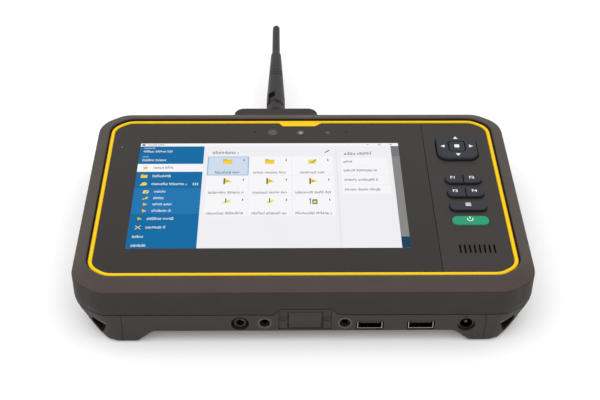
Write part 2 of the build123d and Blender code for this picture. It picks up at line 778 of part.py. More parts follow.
# ---------------------------------------------------------------- ports


def round_socket(place, radius, hole_r, face_y, length):
    """Round socket with a blind hole, behind the front wall."""
    x, z = place
    socket = rod_y(x, z, face_y, face_y + length, radius)
    return socket - rod_y(x, z, face_y - 1, face_y + length - 1.5, hole_r)


def round_jack():
    """Locking data socket with a raised inner ring."""
    x, z = ROUND_JACK
    socket = round_socket(ROUND_JACK, 4.5, 2.0, -74.2, 15.0)
    ring = rod_y(x, z, -76.4, -74.1, 3.3) - rod_y(x, z, -77, -73, 2.0)
    return socket + ring


def power_jack():
    """Charging socket with its centre pin."""
    x, z = POWER_JACK
    socket = round_socket(POWER_JACK, 4.45, 3.2, -76.2, 16.0)
    return socket + rod_y(x, z, -74.8, -61.5, 1.0)


def usb_port(x):
    """Metal socket shell with its plastic tongue."""
    wide, high = USB_SHELL[0] / 2, USB_SHELL[1] / 2
    shell = block((x - wide, x + wide), (-77.0, -61.0), (USB_Z - high, USB_Z + high))
    shell -= block((x - wide + 0.35, x + wide - 0.35), (-80, -61.6), (USB_Z - high + 0.35, USB_Z + high - 0.35))
    return shell + block((x - 5.2, x + 5.2), (-75.8, -61.3), (USB_Z + 0.1, USB_Z + 1.8))


def service_port_plate():
    """Frame plate of the service port."""
    face = block(SERVICE_X, (-77.3, -76.4), SERVICE_Z)
    face = fillet(face.edges().filter_by(Axis.Y), 1.0)
    gap = 0.7
    face -= block((SERVICE_COVER_X[0] - gap, SERVICE_COVER_X[1] + gap), (-80, -70),
                  (SERVICE_Z[0] + 0.5, SERVICE_Z[1] - 0.5))
    for x in SERVICE_SCREWS_X:
        face -= rod_y(x, SERVICE_SCREW_Z, -80, -70, 1.55)
    return face


def service_port_cover():
    """Removable blanking cover of the service port."""
    cover = block(SERVICE_COVER_X, (-77.4, -75.9), (SERVICE_Z[0] + 0.65, SERVICE_Z[1] - 0.65))
    cover = fillet(cover.faces().sort_by(Axis.Y)[0].edges(), 0.4)
    plug = block((SERVICE_COVER_X[0] + 1.3, SERVICE_COVER_X[1] - 1.3), (-76.4, -73.0), (4.0, 12.6))
    return (cover & block((-50, 50), (-90, -76.3), (0, 20))) + plug


def service_port_screws():
    """Two hex socket screws that hold the service port plate."""
    screws = []
    for x in SERVICE_SCREWS_X:
        screw = rod_y(x, SERVICE_SCREW_Z, -77.2, -76.3, 1.45) + rod_y(x, SERVICE_SCREW_Z, -76.4, -70.5, 1.0)
        hexagon = Plane(origin=(x, -77.2, SERVICE_SCREW_Z), z_dir=(0, 1, 0)) * RegularPolygon(0.8, 6)
        screws.append(screw - extrude(hexagon, 0.6))
    return screws


# ---------------------------------------------------------------- radio module and antenna


def radio_shell():
    """Outside of the radio module, rounded where it stands out of the case."""
    x, y, z = RADIO_X, RADIO_Y, RADIO_Z
    plan = rounded_polygon([(x[0], y[0], 1.0), (x[1], y[0], 1.0), (x[1], y[1], 6.0), (x[0], y[1], 6.0)])
    shell = slab(plan, *z)
    shell = fillet(top_edges(shell), 1.8)
    return chamfer(shell.faces().sort_by(Axis.Z)[0].edges(), 1.0)


def radio_case():
    """Lower half of the radio module."""
    x, y, z = RADIO_X, RADIO_Y, RADIO_Z
    case = radio_shell() & block((-60, 60), (40, 110), (0, RADIO_SPLIT_Z - 0.1))
    hollow = soft_block((x[0] + 1.8, x[1] - 1.8), (y[0] + 1.8, y[1] - 2.4), (z[0] + 1.8, 40), 3.0)
    case -= hollow
    for sx, sy in RADIO_SCREWS:
        case += post(sx, sy, z[0] + 1, 12, 3.2)
        case -= post(sx, sy, 0, z[0] + 4.6, 1.6)
    return case - rod_y(ANTENNA_X, ANTENNA_Z, 90, 100, 3.3)


def radio_cover():
    """Upper half of the radio module."""
    x, y, z = RADIO_X, RADIO_Y, RADIO_Z
    cover = radio_shell() & block((-60, 60), (40, 110), (RADIO_SPLIT_Z + 0.1, 40))
    cover -= soft_block((x[0] + 1.8, x[1] - 1.8), (y[0] + 1.8, y[1] - 2.4), (0, z[1] - 1.8), 3.0)
    return cover - rod_y(ANTENNA_X, ANTENNA_Z, 90, 100, 3.3)


def radio_board():
    """Circuit board of the radio module with its screened transmitter."""
    board = soft_block((-38.0, 8.0), (56.0, 91.5), (12.1, 13.7), 1.0)
    return board + soft_block((-28.0, -2.0), (60.0, 80.0), (13.6, 16.6), 1.0)


def radio_connector():
    """Coaxial antenna connector on the end of the radio module."""
    barrel = rod_y(ANTENNA_X, ANTENNA_Z, 92.5, 101.6, 3.15)
    flange = rod_y(ANTENNA_X, ANTENNA_Z, 91.9, 93.5, 4.0)
    return barrel + flange


def turned(shape):
    """Turn an antenna piece about the antenna's own axis to where its hinge is set."""
    axis = Axis((ANTENNA_X, 0, ANTENNA_Z), (0, 1, 0))
    return shape.rotate(axis, -HINGE_TURN)


def antenna_base():
    """Coupling that turns on the connector, with the tongue of the folding hinge."""
    x, z = ANTENNA_X, ANTENNA_Z
    barrel = rod_y(x, z, 96.4, 102.9, 5.6)
    barrel = fillet(barrel.edges().filter_by(GeomType.CIRCLE), 0.4)
    barrel -= rod_y(x, z, 90, 101.9, 3.2)
    tongue = rod_x(HINGE_Y, z, x - 2.0, x + 2.0, 4.6)
    tongue += block((x - 2.0, x + 2.0), (102.6, HINGE_Y), (z - 4.0, z + 4.0))
    tongue -= rod_x(HINGE_Y, z, x - 3, x + 3, 1.25)
    return turned(barrel + tongue)


def antenna_pin():
    """Hinge pin between the tongue and the fork."""
    return turned(rod_x(HINGE_Y, ANTENNA_Z, ANTENNA_X - 4.6, ANTENNA_X + 4.6, 1.2))


def whip_profile():
    """Half section of the whip: a tapered body, a shoulder and a thin round-ended tip."""
    start = HINGE_Y - HEEL_R - 1
    tip_r = 2.4
    body = [(5.8, start), (5.8, 113.0), (4.75, 136.0), (3.35, 166.0), (2.6, 168.4), (tip_r, ANTENNA_TIP_Y - tip_r)]
    foot = (0, start)
    tip = (0, ANTENNA_TIP_Y)
    with BuildSketch(Plane.XY) as half:
        with BuildLine():
            Polyline(foot, *body)
            RadiusArc(body[-1], tip, -tip_r)
            Line(tip, foot)
        make_face()
    return half.sketch


def antenna_whip():
    """Whip with three grooves, whose fork folds about the hinge pin."""
    x, z = ANTENNA_X, ANTENNA_Z
    whip = Pos(x, 0, z) * revolve(whip_profile(), Axis.Y)
    for y in (137.2, 140.0, 142.8):
        whip -= rod_y(x, z, y - 0.3, y + 0.3, 8.0) - rod_y(x, z, y - 1, y + 1, 4.3)
    outside_heel = block((x - 9, x + 9), (90, HINGE_Y), (z - 9, z + 9))
    outside_heel -= rod_x(HINGE_Y, z, x - 10, x + 10, HEEL_R)
    whip -= outside_heel
    whip -= block((x - 2.3, x + 2.3), (90, HINGE_Y + 5.0), (0, 40))
    whip -= rod_x(HINGE_Y, z, x - 4.7, x + 4.7, 1.25)
    return turned(whip)


# ---------------------------------------------------------------- output


def parts():
    """Every sub-part by its name. A list holds separate, identical or similar pieces."""
    right_cap = end_cap()
    right_latch = battery_latch()
    return {
        "front_bumper": front_bumper(),
        "accent_ring": accent_ring(),
        "display_glass": display_glass(),
        "display_gasket": display_gasket(),
        "lcd_panel": lcd_panel(),
        "backlight_unit": backlight_unit(),
        "keypad_panel": keypad_panel(),
        "keypad_membrane": keypad_membrane(),
        "keypad_board": keypad_board(),
        "dpad_bracket": dpad_bracket(),
        "dpad_pivot_ring": dpad_pivot_ring(),
        "dpad_key": dpad_key(),
        "enter_key": enter_key(),
        "f1_key": key_cap(LEFT_KEY_X, F_ROW_1_Y, 1),
        "f2_key": key_cap(RIGHT_KEY_X, F_ROW_1_Y, -1),
        "f3_key": key_cap(LEFT_KEY_X, F_ROW_2_Y, 1),
        "f4_key": key_cap(RIGHT_KEY_X, F_ROW_2_Y, -1),
        "menu_key": key_cap(FULL_KEY_X, MENU_Y),
        "power_key": key_cap(FULL_KEY_X, POWER_Y, lift=POWER_LIFT),
        "speaker_mesh": speaker_mesh(),
        "speaker": speaker(),
        "front_camera": front_camera(),
        "light_sensor": light_sensor(),
        "status_leds": status_leds(),
        "microphones": microphones(),
        "mid_frame": mid_frame(),
        "mainboard": mainboard(),
        "shield_cans": shield_cans(),
        "heat_spreader": heat_spreader(),
        "gnss_antenna": gnss_antenna(),
        "housing_gasket": housing_gasket(),
        "rear_housing": rear_housing(),
        "left_end_cap": mirror_x(right_cap),
        "right_end_cap": right_cap,
        "strap_bars": strap_bars(),
        "foot_pads": foot_pads(),
        "housing_screws": housing_screws(),
        "battery_case": battery_case(),
        "battery_cells": flat_cells(),
        "battery_contacts": battery_contacts(),
        "left_battery_latch": mirror_x(right_latch),
        "right_battery_latch": right_latch,
        "rear_camera": rear_camera(),
        "camera_flash": camera_flash(),
        "round_jack": round_jack(),
        "headset_jack": round_socket(HEADSET_JACK, 2.65, 1.75, -76.0, 14.0),
        "aux_jack": round_socket(AUX_JACK, 2.75, 1.75, -76.0, 14.0),
        "service_port_plate": service_port_plate(),
        "service_port_cover": service_port_cover(),
        "service_port_screws": service_port_screws(),
        "left_usb_port": usb_port(USB_X[0]),
        "right_usb_port": usb_port(USB_X[1]),
        "power_jack": power_jack(),
        "radio_case": radio_case(),
        "radio_cover": radio_cover(),
        "radio_board": radio_board(),
        "radio_connector": radio_connector(),
        "antenna_base": antenna_base(),
        "antenna_pin": antenna_pin(),
        "antenna_whip": antenna_whip(),
    }


def main():
    """Write one STEP file for every sub-part."""
    os.makedirs("parts", exist_ok=True)
    for name, shape in parts().items():
        group = Compound(children=list(shape)) if isinstance(shape, list) else shape
        export_step(group, f"parts/{name}.step")
        print(name, round(group.volume, 1))


main()
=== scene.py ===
import json
import math
import random

import bmesh
import bpy
from mathutils import Matrix, Vector


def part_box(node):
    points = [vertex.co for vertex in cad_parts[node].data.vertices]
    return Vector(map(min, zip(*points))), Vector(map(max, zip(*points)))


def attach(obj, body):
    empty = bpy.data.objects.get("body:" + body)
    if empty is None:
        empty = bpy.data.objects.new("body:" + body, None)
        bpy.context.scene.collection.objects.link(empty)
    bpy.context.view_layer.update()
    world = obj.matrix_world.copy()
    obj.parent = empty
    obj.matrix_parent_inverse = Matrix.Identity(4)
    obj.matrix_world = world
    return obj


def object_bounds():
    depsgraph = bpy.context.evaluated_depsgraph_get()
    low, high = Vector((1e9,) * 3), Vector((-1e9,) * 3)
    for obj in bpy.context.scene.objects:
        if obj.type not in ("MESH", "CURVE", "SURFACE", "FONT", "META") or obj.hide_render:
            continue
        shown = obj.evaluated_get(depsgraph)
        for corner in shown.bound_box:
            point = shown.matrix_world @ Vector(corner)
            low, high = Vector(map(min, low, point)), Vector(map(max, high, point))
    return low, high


# Looks of a rugged tablet data collector. Lengths in this file are millimetres unless a name
# says otherwise; MM turns them into Blender's metres. +X is to the right of the screen, +Y
# runs to the edge with the antenna, +Z comes out of the screen.

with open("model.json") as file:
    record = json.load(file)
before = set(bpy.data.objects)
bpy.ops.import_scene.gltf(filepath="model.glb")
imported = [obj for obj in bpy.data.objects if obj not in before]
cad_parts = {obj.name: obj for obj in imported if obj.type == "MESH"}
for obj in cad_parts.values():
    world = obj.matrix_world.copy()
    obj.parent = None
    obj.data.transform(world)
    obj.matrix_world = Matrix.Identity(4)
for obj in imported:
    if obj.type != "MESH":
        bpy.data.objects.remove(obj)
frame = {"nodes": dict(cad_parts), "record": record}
CAD_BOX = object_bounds()
NODES = frame["nodes"]
MM = 0.001


def node_box(node):
    """Lowest and highest corner of a CAD node, in millimetres."""
    low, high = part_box(node)
    return low / MM, high / MM


# ---------------------------------------------------------------- driving sizes

PRINT = 0.03                     # how far print stands above and below its surface
LAYER = 0.01                     # thickness of one layer of the display and its windows
GLASS_TOP = node_box("display_glass")[1].z
KEY_TOP = node_box("f1_key")[1].z
DPAD_TOP = node_box("dpad_key")[1].z
ENTER_TOP = node_box("enter_key")[1].z
FRONT_WALL = -node_box("rear_housing")[0].y
SCREEN_X = (-93.9, 56.9)
SCREEN_Y = (-47.5, 46.7)
TITLE_FOOT = 43.8                # lower edge of the display's title bar
SCREEN_POWER = 0.97              # strength of the display's own light
CURVE_STEPS = 8                  # straight pieces in a quarter turn

# Details of the front wall. Places are x and z; a reach is where a piece starts and ends,
# counted forwards from the middle of the case.
# Each audio hole gets a rim lighter than the housing: painted highlight on its countersink.
AUDIO_HOLES = (("headset_rim", -20.4, 6.4, 2.78), ("aux_rim", 21.5, 6.3, 2.88))
AUDIO_RIM_WIDTH = 1.0
DATA_SOCKET = (-33.3, 5.9)
DATA_FACE_RADII = (3.25, 2.2)
DATA_FACE_REACH = (76.35, 76.45)
DATA_PINS = 5
DATA_PIN_RADIUS = 0.2
DATA_PIN_CIRCLE = 1.15
DATA_PIN_REACH = (73.0, 75.0)
POWER_SOCKET = (85.1, 4.9)
POWER_CAP_RADIUS = 1.02
POWER_CAP_REACH = (73.5, 74.9)
POWER_TIP_RADIUS = 0.6
POWER_TIP_REACH = (74.9, 75.1)
USB_MIDDLES = (("left_usb_tongue", 34.6), ("right_usb_tongue", 61.3))
USB_TONGUE_HALF = 5.25
USB_TONGUE_Z = (4.65, 6.45)
USB_TONGUE_REACH = (68.0, 75.85)
USB_CONTACT_STEPS = (-3.5, -1.25, 1.25, 3.5)
USB_CONTACT_HALF = 0.5
USB_CONTACT_Z = (4.6, 4.7)
USB_CONTACT_REACH = (69.0, 75.4)
# black strip over each flat socket's shell top: painted shadow under the opening's top edge
USB_SHADOW_STRIP_HALF = 6.7
USB_SHADOW_STRIP_Z = (6.7, 7.3)
USB_SHADOW_STRIP_REACH = (76.9, 77.1)
SERVICE_SCREWS = (("left_service_hex", -10.75), ("right_service_hex", 12.15))
SERVICE_SCREW_Z = 9.3
# black ring round each screw head and black hexagon in it: painted shade in the groove and the socket
SCREW_GROOVE_SHADE_RADIUS = 1.8
SCREW_GROOVE_SHADE_REACH = (77.2, 77.33)
SCREW_HEAD_RADIUS = 1.4
SCREW_HEAD_REACH = (77.15, 77.25)
SCREW_HEX_RADIUS = 0.62
SCREW_HEX_REACH = (77.25, 77.28)

# Camera fitted to the photo: metres, degrees and a focal length for a 36 mm sensor.
CAMERA_PLACE = (-0.010401, -0.538466, 0.455135)
CAMERA_TURN = (51.50, -0.3651, -0.6896)
CAMERA_LENS = 73.62


# ---------------------------------------------------------------- materials

def linear(red, green, blue):
    """Linear colour of an 8-bit display colour."""
    values = []
    for value in (red, green, blue):
        share = value / 255
        values.append(share / 12.92 if share <= 0.04045 else ((share + 0.055) / 1.055) ** 2.4)
    return (*values, 1.0)


def scaled(colour, factor):
    """A colour made darker or lighter."""
    return (*(min(1.0, value * factor) for value in colour[:3]), 1.0)


class Finish:
    """One procedural material, built node by node on a Principled shader."""

    def __init__(self, name):
        self.material = bpy.data.materials.new(name)
        self.material.use_nodes = True
        self.tree = self.material.node_tree
        self.shader = self.tree.nodes["Principled BSDF"]
        self.place = self.add("ShaderNodeTexCoord").outputs["Object"]

    def add(self, kind, **settings):
        node = self.tree.nodes.new(kind)
        for key, value in settings.items():
            setattr(node, key, value)
        return node

    def join(self, output, target):
        self.tree.links.new(output, target)

    def fixed(self, **values):
        """Set shader sockets that are the same all over the surface."""
        for key, value in values.items():
            self.shader.inputs[key.replace("_", " ")].default_value = value

    def noise(self, size, detail=2.0, stretch=(1, 1, 1)):
        """Cloudy pattern whose patches are about size across."""
        place = self.place
        if stretch != (1, 1, 1):
            mapping = self.add("ShaderNodeMapping")
            mapping.inputs["Scale"].default_value = stretch
            self.join(place, mapping.inputs["Vector"])
            place = mapping.outputs["Vector"]
        node = self.add("ShaderNodeTexNoise")
        node.inputs["Scale"].default_value = 1 / (size * MM)
        node.inputs["Detail"].default_value = detail
        self.join(place, node.inputs["Vector"])
        return node.outputs["Fac"]

    def cells(self, size):
        """Pebble pattern whose cells are about size across."""
        node = self.add("ShaderNodeTexVoronoi")
        node.inputs["Scale"].default_value = 1 / (size * MM)
        self.join(self.place, node.inputs["Vector"])
        return node.outputs["Distance"]

    def waves(self, size, axis):
        """Ridges across one axis, a given distance apart."""
        node = self.add("ShaderNodeTexWave", bands_direction=axis)
        node.inputs["Scale"].default_value = 1 / (size * MM) * math.pi / 10
        self.join(self.place, node.inputs["Vector"])
        return node.outputs["Fac"]

    def ramp(self, factor, *stops):
        """Colours at places from 0 to 1 along a factor."""
        node = self.add("ShaderNodeValToRGB")
        points = node.color_ramp.elements
        while len(points) < len(stops):
            points.new(0.5)
        for point, (position, colour) in zip(points, stops):
            point.position = position
            point.color = colour
        self.join(factor, node.inputs["Fac"])
        return node.outputs["Color"]

    def spread_tone(self, factor, colour, share):
        """A colour that swings by a share of itself to either side along a factor."""
        return self.ramp(factor, (0.28, scaled(colour, 1 - share)), (0.72, scaled(colour, 1 + share)))

    def painted_wall_shade(self, upright):
        """Painted shade: white on faces that look up, a grey share of it on upright walls."""
        facing = self.add("ShaderNodeSeparateXYZ")
        self.join(self.add("ShaderNodeNewGeometry").outputs["Normal"], facing.inputs[0])
        walls = (upright, upright, upright, 1.0)
        return self.ramp(facing.outputs["Z"], (0.3, walls), (0.62, (1.0, 1.0, 1.0, 1.0)))

    def mixed(self, first, second, factor, mode="MIX"):
        """Two colour outputs blended by a fixed share."""
        node = self.add("ShaderNodeMix", data_type="RGBA", blend_type=mode)
        node.inputs[0].default_value = factor
        self.join(first, node.inputs[6])
        self.join(second, node.inputs[7])
        return node.outputs[2]

    def between(self, factor, low, high):
        """Factor from 0 to 1 mapped to numbers from low to high."""
        node = self.add("ShaderNodeMapRange")
        node.inputs["To Min"].default_value = low
        node.inputs["To Max"].default_value = high
        self.join(factor, node.inputs["Value"])
        return node.outputs["Result"]

    def relief(self, height, depth, strength=1.0, under=None):
        """Bump of a given depth, on top of another bump if there is one."""
        node = self.add("ShaderNodeBump")
        node.inputs["Distance"].default_value = depth * MM
        node.inputs["Strength"].default_value = strength
        self.join(height, node.inputs["Height"])
        if under is not None:
            self.join(under, node.inputs["Normal"])
        return node.outputs["Normal"]

    def rounded_edges(self, radius):
        """Normal that rounds sharp edges by a given radius."""
        node = self.add("ShaderNodeBevel")
        node.samples = 4
        node.inputs["Radius"].default_value = radius * MM
        return node.outputs["Normal"]


def moulded(name, colour, roughness, grain=0.35, depth=0.02, mottle=0.10, edge=0.25, upright=1.0,
            **fixed):
    """Moulded plastic or elastomer: cloudy colour, fine pebble grain, softened edges.

    Upright walls keep only a share of the colour: painted shade that darkens them against the faces that
    look up.
    """
    finish = Finish(name)
    broad = finish.spread_tone(finish.noise(16, 3), colour, mottle)
    fine = finish.spread_tone(finish.noise(grain * 1.6), colour, 1.4 * mottle)
    tone = finish.mixed(broad, fine, 0.45)
    # painted shade: upright walls keep only a share of the colour
    if upright < 1.0:
        tone = finish.mixed(tone, finish.painted_wall_shade(upright), 1.0, "MULTIPLY")
    finish.join(tone, finish.shader.inputs["Base Color"])
    finish.join(finish.between(finish.noise(5, 3), roughness - 0.06, roughness + 0.06),
                finish.shader.inputs["Roughness"])
    under = finish.rounded_edges(edge) if edge else None
    pebbles = finish.relief(finish.cells(grain), depth, 0.5, under)
    dust = finish.relief(finish.noise(grain * 0.4), depth * 0.4, 0.4, pebbles)
    finish.join(dust, finish.shader.inputs["Normal"])
    finish.fixed(**fixed)
    return finish.material


def glossy(name, colour, roughness=0.06, haze=0.04, edge=0.0, **fixed):
    """Smooth glass or lacquer with faint unevenness and finger haze."""
    finish = Finish(name)
    tone = finish.spread_tone(finish.noise(22, 4), colour, 0.06)
    finish.join(tone, finish.shader.inputs["Base Color"])
    smears = finish.between(finish.noise(30, 5), roughness, roughness + haze)
    finish.join(smears, finish.shader.inputs["Roughness"])
    under = finish.rounded_edges(edge) if edge else None
    finish.join(finish.relief(finish.noise(9, 1), 0.004, 0.3, under), finish.shader.inputs["Normal"])
    finish.fixed(**fixed)
    return finish.material


def lit(name, colour):
    """Lit part of the display under its glass, with the faint grid of the pixels."""
    finish = Finish(name)
    pixels = finish.ramp(finish.waves(0.12, "X"), (0.0, scaled(colour, 0.985)), (1.0, colour))
    clouds = finish.ramp(finish.noise(40, 1), (0.3, scaled(colour, 0.98)), (0.7, colour))
    finish.join(finish.mixed(pixels, clouds, 0.5), finish.shader.inputs["Emission Color"])
    unlit = finish.spread_tone(finish.noise(30, 2), (0.002, 0.002, 0.002, 1), 0.2)
    finish.join(unlit, finish.shader.inputs["Base Color"])
    finish.join(finish.between(finish.noise(30, 5), 0.08, 0.12), finish.shader.inputs["Roughness"])
    finish.fixed(Emission_Strength=SCREEN_POWER, Specular_IOR_Level=0.04)
    return finish.material


def metal(name, colour, roughness=0.3, brush="X"):
    """Brushed or plated metal with drawn lines along the X or the Y axis."""
    wear = 0.15
    finish = Finish(name)
    stretch = {"X": (0.04, 1, 1), "Y": (1, 0.04, 1)}[brush]
    lines = finish.noise(0.25, 3, stretch)
    streaks = finish.ramp(lines, (0.3, scaled(colour, 1 - wear)), (0.7, scaled(colour, 1 + wear / 2)))
    stains = finish.ramp(finish.noise(4, 3), (0.35, scaled(colour, 1 - wear)), (0.65, colour))
    finish.join(finish.mixed(streaks, stains, 0.5), finish.shader.inputs["Base Color"])
    finish.join(finish.between(lines, roughness - 0.08, roughness + 0.1), finish.shader.inputs["Roughness"])
    finish.join(finish.relief(lines, 0.006, 0.4, finish.rounded_edges(0.1)), finish.shader.inputs["Normal"])
    finish.fixed(Metallic=1.0)
    return finish.material


def woven(name, colour, pitch):
    """Fine dust mesh of crossed threads."""
    finish = Finish(name)
    across = finish.waves(pitch, "X")
    along = finish.waves(pitch, "Y")
    weave = finish.add("ShaderNodeMath", operation="MAXIMUM")
    finish.join(across, weave.inputs[0])
    finish.join(along, weave.inputs[1])
    tone = finish.ramp(weave.outputs[0], (0.4, scaled(colour, 0.2)), (0.9, scaled(colour, 1.6)))
    finish.join(tone, finish.shader.inputs["Base Color"])
    finish.join(finish.relief(weave.outputs[0], 0.08), finish.shader.inputs["Normal"])
    finish.fixed(Roughness=0.8)
    return finish.material


def board(name, colour):
    """Circuit board with tracks under green resist."""
    finish = Finish(name)
    tracks = finish.add("ShaderNodeTexBrick")
    tracks.inputs["Scale"].default_value = 180
    tracks.inputs["Color1"].default_value = colour
    tracks.inputs["Color2"].default_value = scaled(colour, 1.3)
    tracks.inputs["Mortar"].default_value = scaled(colour, 0.6)
    finish.join(finish.place, tracks.inputs["Vector"])
    finish.join(tracks.outputs["Color"], finish.shader.inputs["Base Color"])
    finish.join(finish.between(finish.noise(3), 0.3, 0.45), finish.shader.inputs["Roughness"])
    finish.join(finish.relief(tracks.outputs["Fac"], 0.03), finish.shader.inputs["Normal"])
    return finish.material


BUMPER_GREY = linear(78, 70, 65)
HOUSING_GREY = linear(61, 54, 49)
PANEL_GREY = linear(52, 47, 45)
KEY_SLATE = linear(44, 46, 53)
RADIO_GREY = linear(50, 46, 44)
BLACK = linear(14, 13, 13)


def slot_materials():
    """One material for each material slot of the record."""
    steel = linear(168, 168, 166)
    dull = {"Specular_IOR_Level": 0.3}
    key = {"grain": 0.3, "depth": 0.012, "edge": 0.1, **dull}
    return {
        # painted shade: the bumper's upright walls keep 0.45 of its colour
        "bumper": moulded("soft_bumper", BUMPER_GREY, 0.62, grain=0.32, depth=0.03, upright=0.45, **dull),
        "accent": moulded("accent_yellow", linear(255, 204, 0), 0.4, depth=0.006, mottle=0.02,
                          Specular_IOR_Level=0.2),
        "cover_glass": glossy("cover_glass", linear(24, 13, 11), 0.07, 0.03),
        "foam": moulded("black_foam", BLACK, 0.9, grain=0.3, depth=0.05, edge=0),
        "screen": glossy("lcd_glass", linear(20, 40, 60)),
        "sheet_steel": metal("pressed_steel", steel, 0.35),
        "panel": moulded("keypad_panel", PANEL_GREY, 0.5, grain=0.25, depth=0.008, mottle=0.05, **dull),
        "silicone": moulded("grey_silicone", linear(120, 120, 124), 0.6, depth=0.01, edge=0),
        "circuit_board": board("circuit_board", linear(16, 84, 44)),
        "keys": moulded("slate_keys", KEY_SLATE, 0.5, mottle=0.06, **key),
        "power_key": moulded("green_key", linear(30, 150, 110), 0.55, mottle=0.05, **key),
        "fabric_mesh": woven("dust_mesh", linear(30, 30, 30), 0.35),
        "black_plastic": moulded("black_plastic", BLACK, 0.4, grain=0.3, depth=0.01, edge=0.12),
        "lens": glossy("black_optics", linear(10, 10, 14), 0.04, 0.02, edge=0.15, Coat_Weight=0.6),
        "clear_plastic": glossy("clear_plastic", linear(190, 190, 180), 0.15, 0.05),
        "cast_frame": metal("cast_alloy", linear(150, 150, 148), 0.5),
        "copper": metal("copper_sheet", linear(190, 110, 72), 0.3),
        "ceramic": glossy("ceramic", linear(205, 198, 178), 0.3, 0.1),
        "housing": moulded("housing", HOUSING_GREY, 0.55, grain=0.38, depth=0.035, **dull),
        "dark_steel": metal("dark_steel", linear(112, 108, 104), 0.45),
        "service_screw": moulded("black_screw", linear(52, 49, 46), 0.45, grain=0.3, depth=0.01),
        "rubber_feet": moulded("rubber_feet", BLACK, 0.75, grain=0.45, depth=0.04, edge=0.2),
        "battery": moulded("battery_case", linear(48, 45, 43), 0.55, grain=0.42, depth=0.04, edge=0.2),
        "cell_foil": metal("cell_foil", linear(190, 190, 196), 0.25),
        "gold_contacts": metal("gold_plate", linear(214, 170, 84), 0.25, "Y"),
        "latch": moulded("latch_yellow", linear(245, 190, 0), 0.45, grain=0.4, depth=0.012, mottle=0.05),
        "usb_metal": metal("nickel_shell", linear(186, 180, 172), 0.26, "Y"),
        "radio": moulded("radio_case", RADIO_GREY, 0.55, grain=0.36, depth=0.03, **dull),
        "antenna": moulded("antenna_sleeve", RADIO_GREY, 0.5, grain=0.3, depth=0.012, **dull),
    }


def dress_cad_nodes(materials):
    """Give every CAD node the material of its slot."""
    for entry in frame["record"]["subparts"]:
        for place in NODES[entry["node"]].material_slots:
            place.material = materials[entry["material_slot"]]


# ---------------------------------------------------------------- outlines

def box_outline(x, y):
    """Rectangle from (low, high) limits."""
    return [(x[0], y[0]), (x[1], y[0]), (x[1], y[1]), (x[0], y[1])]


def soft_outline(x, y, radius):
    """Rectangle with rounded corners."""
    points = []
    corners = ((x[1], y[0], 270), (x[1], y[1], 0), (x[0], y[1], 90), (x[0], y[0], 180))
    for corner_x, corner_y, start in corners:
        centre_x = corner_x - math.copysign(radius, corner_x - sum(x) / 2)
        centre_y = corner_y - math.copysign(radius, corner_y - sum(y) / 2)
        for i in range(CURVE_STEPS + 1):
            turn = math.radians(start + 90 * i / CURVE_STEPS)
            points.append((centre_x + radius * math.cos(turn), centre_y + radius * math.sin(turn)))
    return points


def round_outline(x, y, radius, steps=4 * CURVE_STEPS):
    """Circle, or a regular polygon with few steps."""
    turns = [2 * math.pi * i / steps for i in range(steps)]
    return [(x + radius * math.cos(turn), y + radius * math.sin(turn)) for turn in turns]


def star_outline(x, y, radius):
    """Five-pointed star."""
    points = []
    for i in range(10):
        reach = radius if i % 2 == 0 else radius * 0.42
        turn = math.radians(90 + 36 * i)
        points.append((x + reach * math.cos(turn), y + reach * math.sin(turn)))
    return points


def arc_outline(x, y, radius, width, start, end):
    """Band along an arc, from a start to an end angle in degrees."""
    steps = 4 * CURVE_STEPS
    turns = [math.radians(start + (end - start) * i / steps) for i in range(steps + 1)]
    far = radius + width / 2
    near = radius - width / 2
    outer = [(x + far * math.cos(turn), y + far * math.sin(turn)) for turn in turns]
    inner = [(x + near * math.cos(turn), y + near * math.sin(turn)) for turn in turns]
    return outer + inner[::-1]


def bar_outline(start, end, width):
    """Straight bar between two points."""
    along = (Vector(end) - Vector(start)).normalized() * width / 2
    side = Vector((-along.y, along.x))
    corners = (Vector(start) - side, Vector(end) - side, Vector(end) + side, Vector(start) + side)
    return [tuple(corner) for corner in corners]


# ---------------------------------------------------------------- pieces from prisms

# Planes in which outlines are drawn: the outline's x, its y, and the way it is pushed out.
FACING_UP = Matrix.Identity(4)
FACING_FRONT = Matrix(((1, 0, 0, 0), (0, 0, -1, 0), (0, 1, 0, 0), (0, 0, 0, 1)))
FACING_DOWN = Matrix(((1, 0, 0, 0), (0, -1, 0, 0), (0, 0, -1, 0), (0, 0, 0, 1)))


